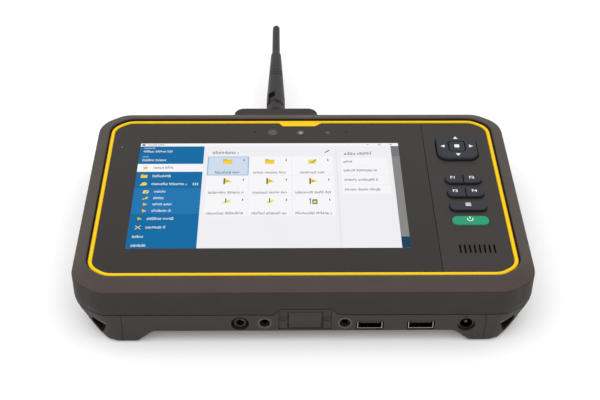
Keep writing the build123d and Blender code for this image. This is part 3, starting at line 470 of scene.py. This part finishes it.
class Piece:
    """Object made of closed prisms, all drawn in one plane."""

    def __init__(self, name, body, slot, plane=FACING_UP):
        self.name = name
        self.body = body
        self.slot = slot
        self.plane = plane
        self.mesh = bmesh.new()
        self.materials = []

    def index(self, material):
        if material not in self.materials:
            self.materials.append(material)
        return self.materials.index(material)

    def prism(self, outline, low, high, material):
        """Closed prism of an outline, between two heights over the plane."""
        index = self.index(material)
        if sum(a[0] * b[1] - b[0] * a[1] for a, b in zip(outline, outline[1:] + outline[:1])) < 0:
            outline = outline[::-1]
        lower = [self.mesh.verts.new((x * MM, y * MM, low * MM)) for x, y in outline]
        upper = [self.mesh.verts.new((x * MM, y * MM, high * MM)) for x, y in outline]
        faces = [self.mesh.faces.new(lower[::-1]), self.mesh.faces.new(upper)]
        for i in range(len(outline)):
            j = (i + 1) % len(outline)
            faces.append(self.mesh.faces.new((lower[i], lower[j], upper[j], upper[i])))
        for face in faces:
            face.material_index = index

    def washer(self, outer, inner, low, high, material):
        """Closed ring between two outlines with the same number of points."""
        index = self.index(material)
        rings = []
        for outline, level in ((outer, low), (outer, high), (inner, high), (inner, low)):
            rings.append([self.mesh.verts.new((x * MM, y * MM, level * MM)) for x, y in outline])
        count = len(outer)
        for ring, above in zip(rings, rings[1:] + rings[:1]):
            for i in range(count):
                j = (i + 1) % count
                face = self.mesh.faces.new((ring[i], ring[j], above[j], above[i]))
                face.material_index = index

    def make(self):
        """Turn the prisms into an object that rides on its body."""
        self.mesh.transform(self.plane)
        data = bpy.data.meshes.new(self.name)
        self.mesh.to_mesh(data)
        self.mesh.free()
        piece = bpy.data.objects.new(self.name, data)
        bpy.context.scene.collection.objects.link(piece)
        for material in self.materials:
            data.materials.append(material)
        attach(piece, self.body)


# ---------------------------------------------------------------- display contents

class Screen:
    """User interface on the display: flat layers, each a little above the one below."""

    def __init__(self):
        self.piece = Piece("screen_image", "case", "screen")
        self.colours = {
            "white": lit("ui_white", linear(250, 250, 253)),
            "paper": lit("ui_paper", linear(243, 242, 247)),
            "line": lit("ui_line", linear(226, 226, 232)),
            "blue": lit("ui_blue", linear(8, 108, 166)),
            "light_blue": lit("ui_light_blue", linear(28, 119, 180)),
            "tint": lit("ui_tint", linear(210, 224, 242)),
            "tint_edge": lit("ui_tint_edge", linear(130, 178, 220)),
            "ink": lit("ui_ink", linear(72, 72, 80)),
            "pale_ink": lit("ui_pale_ink", linear(205, 226, 242)),
            "yellow": lit("ui_yellow", linear(248, 210, 50)),
            "pale_yellow": lit("ui_pale_yellow", linear(246, 228, 110)),
            "gold": lit("ui_gold", linear(226, 178, 50)),
            "grey": lit("ui_grey", linear(138, 138, 137)),
            "dark_grey": lit("ui_dark_grey", linear(122, 120, 124)),
            "navy": lit("ui_navy", linear(18, 66, 96)),
        }
        self.draws = random.Random(7)

    def flat(self, outline, layer, colour):
        low = GLASS_TOP + layer * LAYER
        self.piece.prism(outline, low, low + LAYER, self.colours[colour])

    def area(self, x, y, layer, colour):
        self.flat(box_outline(sorted(x), sorted(y)), layer, colour)

    def line(self, x, y, height, layer, colour):
        """Stand-in for a line of print: words of upright pickets that spell nothing."""
        stroke = 0.15 * height
        pitch = 0.37 * height
        word_length = (8, 16)
        left_in_word = self.draws.randint(*word_length)
        for i in range(int((x[1] - x[0]) / pitch)):
            if left_in_word == 0:
                left_in_word = self.draws.randint(*word_length)
                continue
            left_in_word -= 1
            left = x[0] + i * pitch
            top = y + height * self.draws.choice((0.3, 0.5, 0.5, 0.5, 0.8))
            foot = y - height * self.draws.choice((0.5, 0.5, 0.5, 0.3))
            self.area((left, left + stroke), (foot, top), layer, colour)
            if left_in_word % 2:
                bar = self.draws.choice((foot, top - stroke))
                self.area((left + stroke, left + pitch), (bar, bar + stroke), layer, colour)

    # Icons, each centred on a point.

    def folder(self, x, y, size, layer):
        half = size / 2
        self.area((x - half, x - 0.1 * size), (y + 0.1 * size, y + 0.42 * size), layer, "gold")
        self.area((x - half, x + 0.42 * size), (y - 0.36 * size, y + 0.3 * size), layer, "gold")
        foot = y - 0.4 * size
        front = [(x - half, foot), (x + 0.4 * size, foot), (x + half, y + 0.2 * size),
                 (x - 0.38 * size, y + 0.2 * size)]
        self.flat(front, layer + 1, "yellow")

    def notes(self, x, y, size, layer):
        half = size / 2
        low = y - 0.4 * size
        high = y + 0.34 * size
        stroke = 0.1 * size
        bend = (x, y - 0.2 * size)
        sheet = [(x - half, low), (x + 0.36 * size, low), (x + half, high), (x - 0.36 * size, high)]
        self.flat(sheet, layer, "pale_yellow")
        self.flat(bar_outline((x - 0.2 * size, y), bend, stroke), layer + 1, "ink")
        self.flat(bar_outline(bend, (x + 0.4 * size, high), stroke), layer + 1, "ink")

    def pennant(self, x, y, size, layer):
        """Dark post with a yellow pennant."""
        half = size / 2
        mast = x - 0.2 * size
        self.area((mast - 0.14 * size, mast), (y - half, y + half), layer, "ink")
        flag = [(mast, y - 0.3 * size), (x + half, y - 0.05 * size), (mast, y + 0.42 * size)]
        self.flat(flag, layer, "yellow")
        self.flat(round_outline(x + 0.02 * size, y + 0.02 * size, 0.16 * size, 12), layer + 1, "gold")

    def bearing(self, x, y, size, layer):
        """Wedge between two directions, with a marker over it."""
        half = size / 2
        wedge = [(x - half, y - 0.36 * size), (x + 0.3 * size, y - 0.16 * size),
                 (x + half, y + 0.36 * size), (x + 0.1 * size, y + 0.2 * size)]
        self.flat(wedge, layer, "pale_yellow")
        self.area((x - 0.06 * size, x + 0.04 * size), (y - 0.2 * size, y + 0.36 * size), layer + 1, "ink")
        self.flat(round_outline(x - 0.01 * size, y + 0.4 * size, 0.08 * size, 10), layer + 1, "ink")

    def device(self, x, y, size, layer):
        """Grey receiver with a yellow screen."""
        low = y - 0.44 * size
        high = y + 0.3 * size
        self.flat(soft_outline((x - 0.1 * size, x + 0.4 * size), (low, high), 0.08 * size), layer, "ink")
        self.area((x, x + 0.3 * size), (y - 0.3 * size, y + 0.1 * size), layer + 1, "pale_yellow")
        self.area((x - 0.42 * size, x - 0.2 * size), (high, y + 0.44 * size), layer, "ink")
        self.area((x - 0.34 * size, x - 0.26 * size), (low, high), layer, "ink")

    def tools(self, x, y, size, layer):
        """Two crossed tools."""
        reach = 0.4 * size
        width = 0.13 * size
        rising = bar_outline((x - reach, y - reach), (x + reach, y + reach), width)
        falling = bar_outline((x - reach, y + reach), (x + reach, y - reach), width)
        self.flat(rising, layer, "pale_ink")
        self.flat(falling, layer + 1, "yellow")


def title_bar(screen):
    """White bar with a mark, a line of signs and three window buttons."""
    y = (TITLE_FOOT, SCREEN_Y[1])
    middle = sum(y) / 2
    screen.area(SCREEN_X, y, 1, "white")
    screen.flat(soft_outline((-93.0, -91.2), (middle - 0.8, middle + 0.8), 0.3), 2, "blue")
    screen.line((-89.6, -79.6), middle, 1.1, 2, "ink")
    screen.area((38.2, 39.8), (middle - 0.15, middle + 0.15), 2, "ink")
    outer = soft_outline((45.1, 46.6), (middle - 0.75, middle + 0.75), 0.2)
    inner = soft_outline((45.35, 46.35), (middle - 0.5, middle + 0.5), 0.1)
    low = GLASS_TOP + 2 * LAYER
    screen.piece.washer(outer, inner, low, low + LAYER, screen.colours["ink"])
    screen.flat(bar_outline((52.0, middle - 0.6), (53.2, middle + 0.6), 0.25), 2, "ink")
    screen.flat(bar_outline((52.0, middle + 0.6), (53.2, middle - 0.6), 0.25), 3, "ink")


def side_menu(screen):
    """Blue column with a heading, a chosen row, rows with icons and an inset group."""
    right = -56.5
    text_x = -84.6
    heading_x = -91.6
    foot_x = -91.2
    screen.area((SCREEN_X[0], right), (SCREEN_Y[0], TITLE_FOOT), 1, "blue")
    for small, large in (((-84.4, 42.0), (-74.6, 38.7)), ((-88.2, 33.6), (-77.4, 30.3))):
        screen.line((heading_x, small[0]), small[1], 1.1, 2, "pale_ink")
        screen.line((heading_x, large[0]), large[1], 1.7, 2, "white")
    screen.area((SCREEN_X[0], right), (19.3, 26.7), 2, "white")
    screen.flat(star_outline(-89.2, 22.9, 2.0), 3, "gold")
    screen.line((text_x, -72.9), 23.0, 1.8, 3, "ink")
    screen.folder(-89.3, 15.2, 4.0, 2)
    screen.line((text_x, -73.9), 15.1, 1.8, 2, "white")
    screen.flat(round_outline(-88.8, 8.1, 1.5), 2, "yellow")
    screen.flat(bar_outline((-91.0, 6.9), (-87.2, 7.7), 0.9), 3, "pale_yellow")
    screen.line((text_x, -64.6), 7.8, 1.8, 2, "white")
    for i in range(3):
        screen.area((-61.4 + 1.2 * i, -60.8 + 1.2 * i), (6.6, 9.0), 2, "pale_ink")
    inset_group(screen, right)
    screen.pennant(-89.0, -22.9, 3.4, 2)
    screen.line((text_x, -69.8), -22.9, 1.8, 2, "white")
    screen.tools(-88.9, -30.2, 3.8, 2)
    screen.line((text_x, -73.9), -30.3, 1.8, 2, "white")
    screen.line((foot_x, -85.0), -38.0, 1.8, 2, "white")
    screen.line((foot_x, -82.6), -45.3, 1.8, 2, "white")


def inset_group(screen, right):
    """Four rows on a lighter ground."""
    screen.area((SCREEN_X[0], right), (-18.7, 4.2), 2, "light_blue")
    icon_x = -87.2
    text_x = -82.6
    rows = ((0.9, -75.4, screen.notes), (-4.9, -76.4, screen.bearing),
            (-10.4, -71.8, screen.pennant), (-16.1, -71.6, screen.pennant))
    for y, end, icon in rows:
        icon(icon_x, y, 3.6, 3)
        screen.line((text_x, end), y, 1.6, 3, "white")


def tiles(screen):
    """Three by three tiles, the first of them chosen, under a heading."""
    columns = ((-54.0, -30.3), (-29.9, -6.0), (-5.4, 18.0))
    rows = ((15.8, 33.7), (-2.6, 15.2), (-21.0, -3.1))
    label_width = ((14.4, 19.2, 14.4), (20.6, 19.6, 20.0), (21.6, 19.8, 20.4))
    icons = ((screen.folder, screen.folder, screen.notes),
             (screen.pennant, screen.pennant, screen.pennant),
             (screen.bearing, screen.bearing, screen.device))
    icon_size = 5.6
    text_height = 1.8
    screen.line((-51.4, -35.6), 37.3, 2.3, 2, "ink")
    screen.flat(bar_outline((13.6, 37.4), (16.2, 39.6), 0.7), 2, "ink")
    for row, y in enumerate(rows):
        for column, x in enumerate(columns):
            chosen = row == column == 0
            if chosen:
                screen.area(x, y, 2, "tint_edge")
                screen.area((x[0] + 0.5, x[1] - 0.5), (y[0] + 0.5, y[1] - 0.5), 3, "tint")
            else:
                screen.area(x, y, 2, "white")
            layer = 4 if chosen else 3
            middle = sum(x) / 2
            icons[row][column](middle - 0.2, y[1] - 4.9, icon_size, layer)
            half = label_width[row][column] / 2
            screen.line((middle - half, middle + half), y[0] + 2.5, text_height, layer, "ink")
            screen.area((x[1] - 3.1, x[1] - 2.5), (y[1] - 4.4, y[1] - 2.7), layer, "ink")


def return_list(screen):
    """Column with a heading and four boxes."""
    screen.area((19.9, 20.3), (SCREEN_Y[0], TITLE_FOOT), 2, "line")
    screen.line((24.8, 41.3), 36.4, 2.3, 2, "ink")
    boxes = ((24.6, 32.4, 29.4), (16.2, 24.1, 43.4), (7.2, 15.4, 43.7), (-1.7, 6.4, 44.3))
    for low, high, text_end in boxes:
        screen.area((22.7, 49.7), (low, high), 2, "white")
        screen.line((24.0, text_end), (low + high) / 2, 1.8, 3, "ink")


def right_strip(screen):
    """Grey strip along the right edge, with a dark block at its foot."""
    x = (52.3, SCREEN_X[1])
    head = 33.6
    foot = -38.4
    screen.area(x, (head, TITLE_FOOT), 2, "dark_grey")
    screen.area(x, (foot, head), 2, "grey")
    screen.area(x, (SCREEN_Y[0], foot), 2, "navy")


def screen_image():
    """The whole picture on the display."""
    screen = Screen()
    screen.area(SCREEN_X, SCREEN_Y, 0, "paper")
    title_bar(screen)
    side_menu(screen)
    tiles(screen)
    return_list(screen)
    right_strip(screen)
    screen.piece.make()


# ---------------------------------------------------------------- key legends

def node_centre(node):
    """Middle of a CAD node's box."""
    low, high = node_box(node)
    return (low + high) / 2


def printed(piece, outline, top, ink):
    """Thin print on a surface at a given height."""
    piece.prism(outline, top - PRINT, top + PRINT, ink)


def rocker_legends(ink):
    """Four arrows on the rocker and a rounded square on the enter key."""
    middle = node_centre("dpad_key").xy
    reach = 8.4
    length = 1.25
    arrows = Piece("rocker_arrows", "dpad_key", "keys")
    for turn in (0, 90, 180, 270):
        ahead = Vector((math.cos(math.radians(turn)), math.sin(math.radians(turn))))
        side = Vector((-ahead.y, ahead.x)) * length * 1.1
        centre = middle + ahead * reach
        foot = centre - ahead * length
        outline = [tuple(corner) for corner in (centre + ahead * length, foot + side, foot - side)]
        printed(arrows, outline, DPAD_TOP, ink)
    arrows.make()
    half = 1.45
    square = Piece("enter_mark", "enter_key", "keys")
    limits = ((middle.x - half, middle.x + half), (middle.y - half, middle.y + half))
    printed(square, soft_outline(*limits, 0.5), ENTER_TOP, ink)
    square.make()


def lettered(name, body, words, place, size, ink):
    """Raised print in Blender's own typeface, centred on a place on a key's top."""
    curve = bpy.data.curves.new(name, "FONT")
    curve.body = words
    curve.size = size * MM
    curve.extrude = PRINT * MM
    curve.offset = 0.05 * MM
    curve.resolution_u = 3
    curve.align_x = "CENTER"
    curve.align_y = "CENTER"
    pattern = bpy.data.objects.new(name + "_pattern", curve)
    data = bpy.data.meshes.new_from_object(pattern)
    bpy.data.objects.remove(pattern)
    shape = bmesh.new()
    shape.from_mesh(data)
    bmesh.ops.remove_doubles(shape, verts=shape.verts, dist=0.001 * MM)
    shape.transform(Matrix.Translation(Vector(place) * MM))
    shape.to_mesh(data)
    shape.free()
    data.materials.clear()
    data.materials.append(ink)
    piece = bpy.data.objects.new(name, data)
    bpy.context.scene.collection.objects.link(piece)
    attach(piece, body)


def function_legends(ink):
    """F1 to F4 on the four function keys, a little above and left of their middles."""
    shifts = {"1": -0.2, "2": -0.8, "3": -0.2, "4": -0.8}
    rise = 0.75
    size = 3.2
    for number, shift in shifts.items():
        node = f"f{number}_key"
        middle = node_centre(node)
        place = (middle.x + shift, middle.y + rise, KEY_TOP)
        lettered(f"f{number}_legend", node, "F" + number, place, size, ink)


def menu_legend(ink):
    """Three bars on the menu key."""
    middle = node_centre("menu_key")
    x = (middle.x - 1.55, middle.x + 1.55)
    rise = 0.65
    pitch = 1.05
    half = 0.3
    bars = Piece("menu_legend", "menu_key", "keys")
    for step in (-1, 0, 1):
        y = middle.y + rise + pitch * step
        printed(bars, soft_outline(x, (y - half, y + half), 0.25), KEY_TOP, ink)
    bars.make()


def power_legend(ink):
    """Open circle with a bar on the power key."""
    middle = node_centre("power_key")
    top = node_box("power_key")[1].z
    x = middle.x - 0.2
    y = middle.y + 0.8
    half = 0.27
    sign = Piece("power_legend", "power_key", "keys")
    printed(sign, arc_outline(x, y, radius=1.5, width=0.5, start=145, end=395), top, ink)
    printed(sign, soft_outline((x - half, x + half), (y + 0.2, y + 2.3), 0.2), top, ink)
    sign.make()


# ---------------------------------------------------------------- windows in the glass border

def stacked_rings(name, x, y, rings, slot):
    """Round window on the glass, made of discs that get smaller upwards."""
    window = Piece(name, "case", slot)
    for i, (radius, material) in enumerate(rings):
        low = GLASS_TOP + LAYER * i
        window.prism(round_outline(x, y, radius), low, low + LAYER, material)
    window.make()


def glass_windows(materials):
    """Camera, brightness sensor, indicator lights and microphone holes."""
    window = glossy("window_print", linear(84, 80, 78), 0.12)
    pale = glossy("sensor_filter", linear(120, 116, 112), 0.12)
    # colour of the painted highlight on the sensor window
    painted_glint = glossy("painted_sensor_glint", linear(226, 224, 220), 0.1)
    dull = glossy("led_window", linear(66, 62, 61), 0.12)
    dot = moulded("pin_hole", linear(4, 4, 4), 0.9, grain=0.3, depth=0.01, edge=0)
    camera_rings = ((2.65, window), (2.1, dull), (1.2, window), (0.5, materials["lens"]))
    stacked_rings("front_camera_window", -16.8, 57.8, camera_rings, "lens")
    stacked_rings("sensor_window", -0.2, 57.6, ((1.95, window), (1.35, pale)), "lens")
    # painted highlight: a small pale disc on the sensor window stands for a glint
    glint = Piece("painted_sensor_glint", "case", "lens")
    glint.prism(round_outline(-0.1, 56.9, 0.42), GLASS_TOP + 2 * LAYER, GLASS_TOP + 3 * LAYER, painted_glint)
    glint.make()
    stacked_rings("top_light_window", 15.9, 57.5, ((1.45, dull), (0.8, window)), "clear_plastic")
    stacked_rings("side_light_window", -104.7, 43.2, ((0.75, dull), (0.4, pale)), "clear_plastic")
    for name, x in (("left_microphone_hole", -27.4), ("right_microphone_hole", 26.8)):
        stacked_rings(name, x, 58.1, ((0.85, dull), (0.72, dot)), "black_plastic")


# ---------------------------------------------------------------- details of the sockets

def round_sockets(materials):
    """Rings round the audio holes, painted lighter as a highlight on their countersinks; the data socket's
    insert; the power socket's pin.
    """
    # painted highlight: countersink rims lighter than the housing
    rim_highlight = moulded("socket_rim_highlight", linear(84, 77, 71), 0.6, grain=0.3, depth=0.01)
    insert = moulded("socket_insert", linear(40, 36, 33), 0.6, grain=0.3, depth=0.01)
    for name, x, z, hole in AUDIO_HOLES:
        ring = Piece(name, "case", "housing", FACING_FRONT)
        outer = round_outline(x, z, hole + AUDIO_RIM_WIDTH)
        ring.washer(outer, round_outline(x, z, hole), FRONT_WALL - PRINT, FRONT_WALL + PRINT, rim_highlight)
        ring.make()
    face = Piece("data_socket_insert", "case", "black_plastic", FACING_FRONT)
    outer, inner = (round_outline(*DATA_SOCKET, radius) for radius in DATA_FACE_RADII)
    face.washer(outer, inner, *DATA_FACE_REACH, insert)
    for x, z in round_outline(*DATA_SOCKET, DATA_PIN_CIRCLE, DATA_PINS):
        pin = round_outline(x, z, DATA_PIN_RADIUS, 12)
        face.prism(pin, *DATA_PIN_REACH, materials["gold_contacts"])
    face.make()
    cap = Piece("power_pin_cap", "case", "dark_steel", FACING_FRONT)
    black_ring = round_outline(*POWER_SOCKET, POWER_CAP_RADIUS)
    tip = round_outline(*POWER_SOCKET, POWER_TIP_RADIUS)
    cap.prism(black_ring, *POWER_CAP_REACH, materials["black_plastic"])
    cap.prism(tip, *POWER_TIP_REACH, materials["dark_steel"])
    cap.make()


def usb_tongues(materials):
    """Black tongue with four gold contacts in each of the two flat sockets, and a black strip over the
    shell's top edge as painted shadow under the opening.
    """
    black = materials["black_plastic"]
    for name, x in USB_MIDDLES:
        tongue = Piece(name, "case", "black_plastic", FACING_FRONT)
        body = box_outline((x - USB_TONGUE_HALF, x + USB_TONGUE_HALF), USB_TONGUE_Z)
        tongue.prism(body, *USB_TONGUE_REACH, black)
        for middle in (x + step for step in USB_CONTACT_STEPS):
            strip = box_outline((middle - USB_CONTACT_HALF, middle + USB_CONTACT_HALF), USB_CONTACT_Z)
            tongue.prism(strip, *USB_CONTACT_REACH, materials["gold_contacts"])
        tongue.make()
        # painted shadow: a black strip over the shell's top edge
        shadow_strip = Piece(name.replace("tongue", "shadow_strip"), "case", "black_plastic", FACING_FRONT)
        strip = soft_outline((x - USB_SHADOW_STRIP_HALF, x + USB_SHADOW_STRIP_HALF), USB_SHADOW_STRIP_Z, 0.2)
        shadow_strip.prism(strip, *USB_SHADOW_STRIP_REACH, black)
        shadow_strip.make()


def service_screw_faces(materials):
    """Black ring round the head and black hexagon in it, as painted shade in the groove and the socket, and
    the head of the two screws beside the service port.
    """
    black = materials["foam"]
    for name, x in SERVICE_SCREWS:
        face = Piece(name, "case", "dark_steel", FACING_FRONT)
        groove_shade = round_outline(x, SERVICE_SCREW_Z, SCREW_GROOVE_SHADE_RADIUS)
        head = round_outline(x, SERVICE_SCREW_Z, SCREW_HEAD_RADIUS)
        hex_socket_shade = round_outline(x, SERVICE_SCREW_Z, SCREW_HEX_RADIUS, 6)
        # painted shade: black ring in the groove, black hexagon in the socket
        face.washer(groove_shade, head, *SCREW_GROOVE_SHADE_REACH, black)
        face.prism(head, *SCREW_HEAD_REACH, materials["service_screw"])
        face.prism(hex_socket_shade, *SCREW_HEX_REACH, black)
        face.make()


# ---------------------------------------------------------------- details of the underside

def battery_label():
    """Blank rating plate on the battery pack, with a printed frame and three empty fields."""
    faint = {"grain": 0.3, "mottle": 0.03, "edge": 0}
    film = moulded("label_film", linear(176, 174, 170), 0.4, depth=0.004, **faint)
    dark = moulded("label_print", linear(40, 40, 42), 0.5, depth=0.002, **faint)
    film_top = 0.08
    print_top = 0.11
    label = Piece("battery_label", "case", "battery", FACING_DOWN)
    label.prism(soft_outline((-34, 34), (-4, 30), 2.0), -PRINT, film_top, film)
    outer = soft_outline((-32, 32), (-2, 28), 1.4)
    inner = soft_outline((-31.4, 31.4), (-1.4, 27.4), 1.0)
    label.washer(outer, inner, film_top, print_top, dark)
    for left, right in ((-28, -10), (-8, 10), (12, 28)):
        outer = box_outline((left, right), (2, 12))
        inner = box_outline((left + 0.5, right - 0.5), (2.5, 11.5))
        label.washer(outer, inner, film_top, print_top, dark)
    label.make()


def rear_lens_rings(materials):
    """Optics stacked on the rear camera and its light."""
    step = 0.02
    for node, shares in (("rear_camera", (0.8, 0.55, 0.3)), ("camera_flash", (0.8, 0.45))):
        low, high = node_box(node)
        middle = node_centre(node)
        radius = (high.x - low.x) / 2
        optic = Piece(node + "_optic", "case", "lens", FACING_DOWN)
        for i, share in enumerate(shares):
            face = materials["black_plastic"] if i % 2 else materials["lens"]
            base = -low.z + step * i
            optic.prism(round_outline(middle.x, -middle.y, radius * share), base, base + step, face)
        optic.make()


# ---------------------------------------------------------------- stage

def stage():
    """Pale floor, soft sky and two soft boxes."""
    half_m = 12.0
    square = box_outline((-half_m, half_m), (-half_m, half_m))
    corners = [(x, y, CAD_BOX[0].z) for x, y in square]
    data = bpy.data.meshes.new("floor")
    data.from_pydata(corners, [], [(0, 1, 2, 3)])
    floor = bpy.data.objects.new("floor", data)
    bpy.context.scene.collection.objects.link(floor)
    finish = Finish("floor_paper")
    tone = finish.spread_tone(finish.noise(400, 2), (0.92, 0.92, 0.92, 1), 0.01)
    finish.join(tone, finish.shader.inputs["Base Color"])
    finish.join(tone, finish.shader.inputs["Emission Color"])
    finish.fixed(Roughness=0.9, Emission_Strength=0.16)
    data.materials.append(finish.material)
    sky()
    soft_box("overhead_light", (0.0, -0.35, 1.05), 1.5, 9.5)
    soft_box("left_light", (-1.2, -0.5, 0.8), 0.9, 1.4)


def sky():
    """Soft studio light from all round, brighter from above and from behind the object."""
    world = bpy.data.worlds.new("studio")
    bpy.context.scene.world = world
    world.use_nodes = True
    tree = world.node_tree
    back = tree.nodes["Background"]
    coords = tree.nodes.new("ShaderNodeTexCoord")
    towards = tree.nodes.new("ShaderNodeVectorMath")
    towards.operation = "DOT_PRODUCT"
    towards.inputs[1].default_value = Vector((0.0, 0.62, 0.78))
    tree.links.new(coords.outputs["Generated"], towards.inputs[0])
    ramp = tree.nodes.new("ShaderNodeValToRGB")
    points = ramp.color_ramp.elements
    points[0].position = 0.0
    points[0].color = (0.18, 0.18, 0.19, 1)
    points[1].position = 0.7
    points[1].color = (0.9, 0.9, 0.9, 1)
    tree.links.new(towards.outputs["Value"], ramp.inputs["Fac"])
    tree.links.new(ramp.outputs["Color"], back.inputs["Color"])
    back.inputs["Strength"].default_value = 0.9


def soft_box(name, place, size, power):
    """Square area light that points at the object; its place and size are in metres."""
    data = bpy.data.lights.new(name, "AREA")
    data.size = size
    data.energy = power
    light = bpy.data.objects.new(name, data)
    bpy.context.scene.collection.objects.link(light)
    light.location = place
    light.rotation_euler = (-Vector(place)).to_track_quat("-Z", "Y").to_euler()
    light.visible_glossy = False


def camera():
    """Camera in front of the tablet, looking down on the screen."""
    data = bpy.data.cameras.new("camera")
    data.sensor_width = 36.0
    data.lens = CAMERA_LENS
    view = bpy.data.objects.new("camera", data)
    bpy.context.scene.collection.objects.link(view)
    view.location = CAMERA_PLACE
    view.rotation_euler = [math.radians(angle) for angle in CAMERA_TURN]
    bpy.context.scene.camera = view
    bpy.context.scene.view_settings.view_transform = "Standard"


# ---------------------------------------------------------------- everything together

def build():
    """All pieces, materials and the stage."""
    camera()
    stage()
    materials = slot_materials()
    dress_cad_nodes(materials)
    screen_image()
    ink = moulded("white_print", linear(238, 238, 240), 0.5, grain=0.2, depth=0.002, mottle=0.02, edge=0)
    rocker_legends(ink)
    function_legends(ink)
    menu_legend(ink)
    power_legend(ink)
    glass_windows(materials)
    round_sockets(materials)
    usb_tongues(materials)
    service_screw_faces(materials)
    battery_label()
    rear_lens_rings(materials)


build()
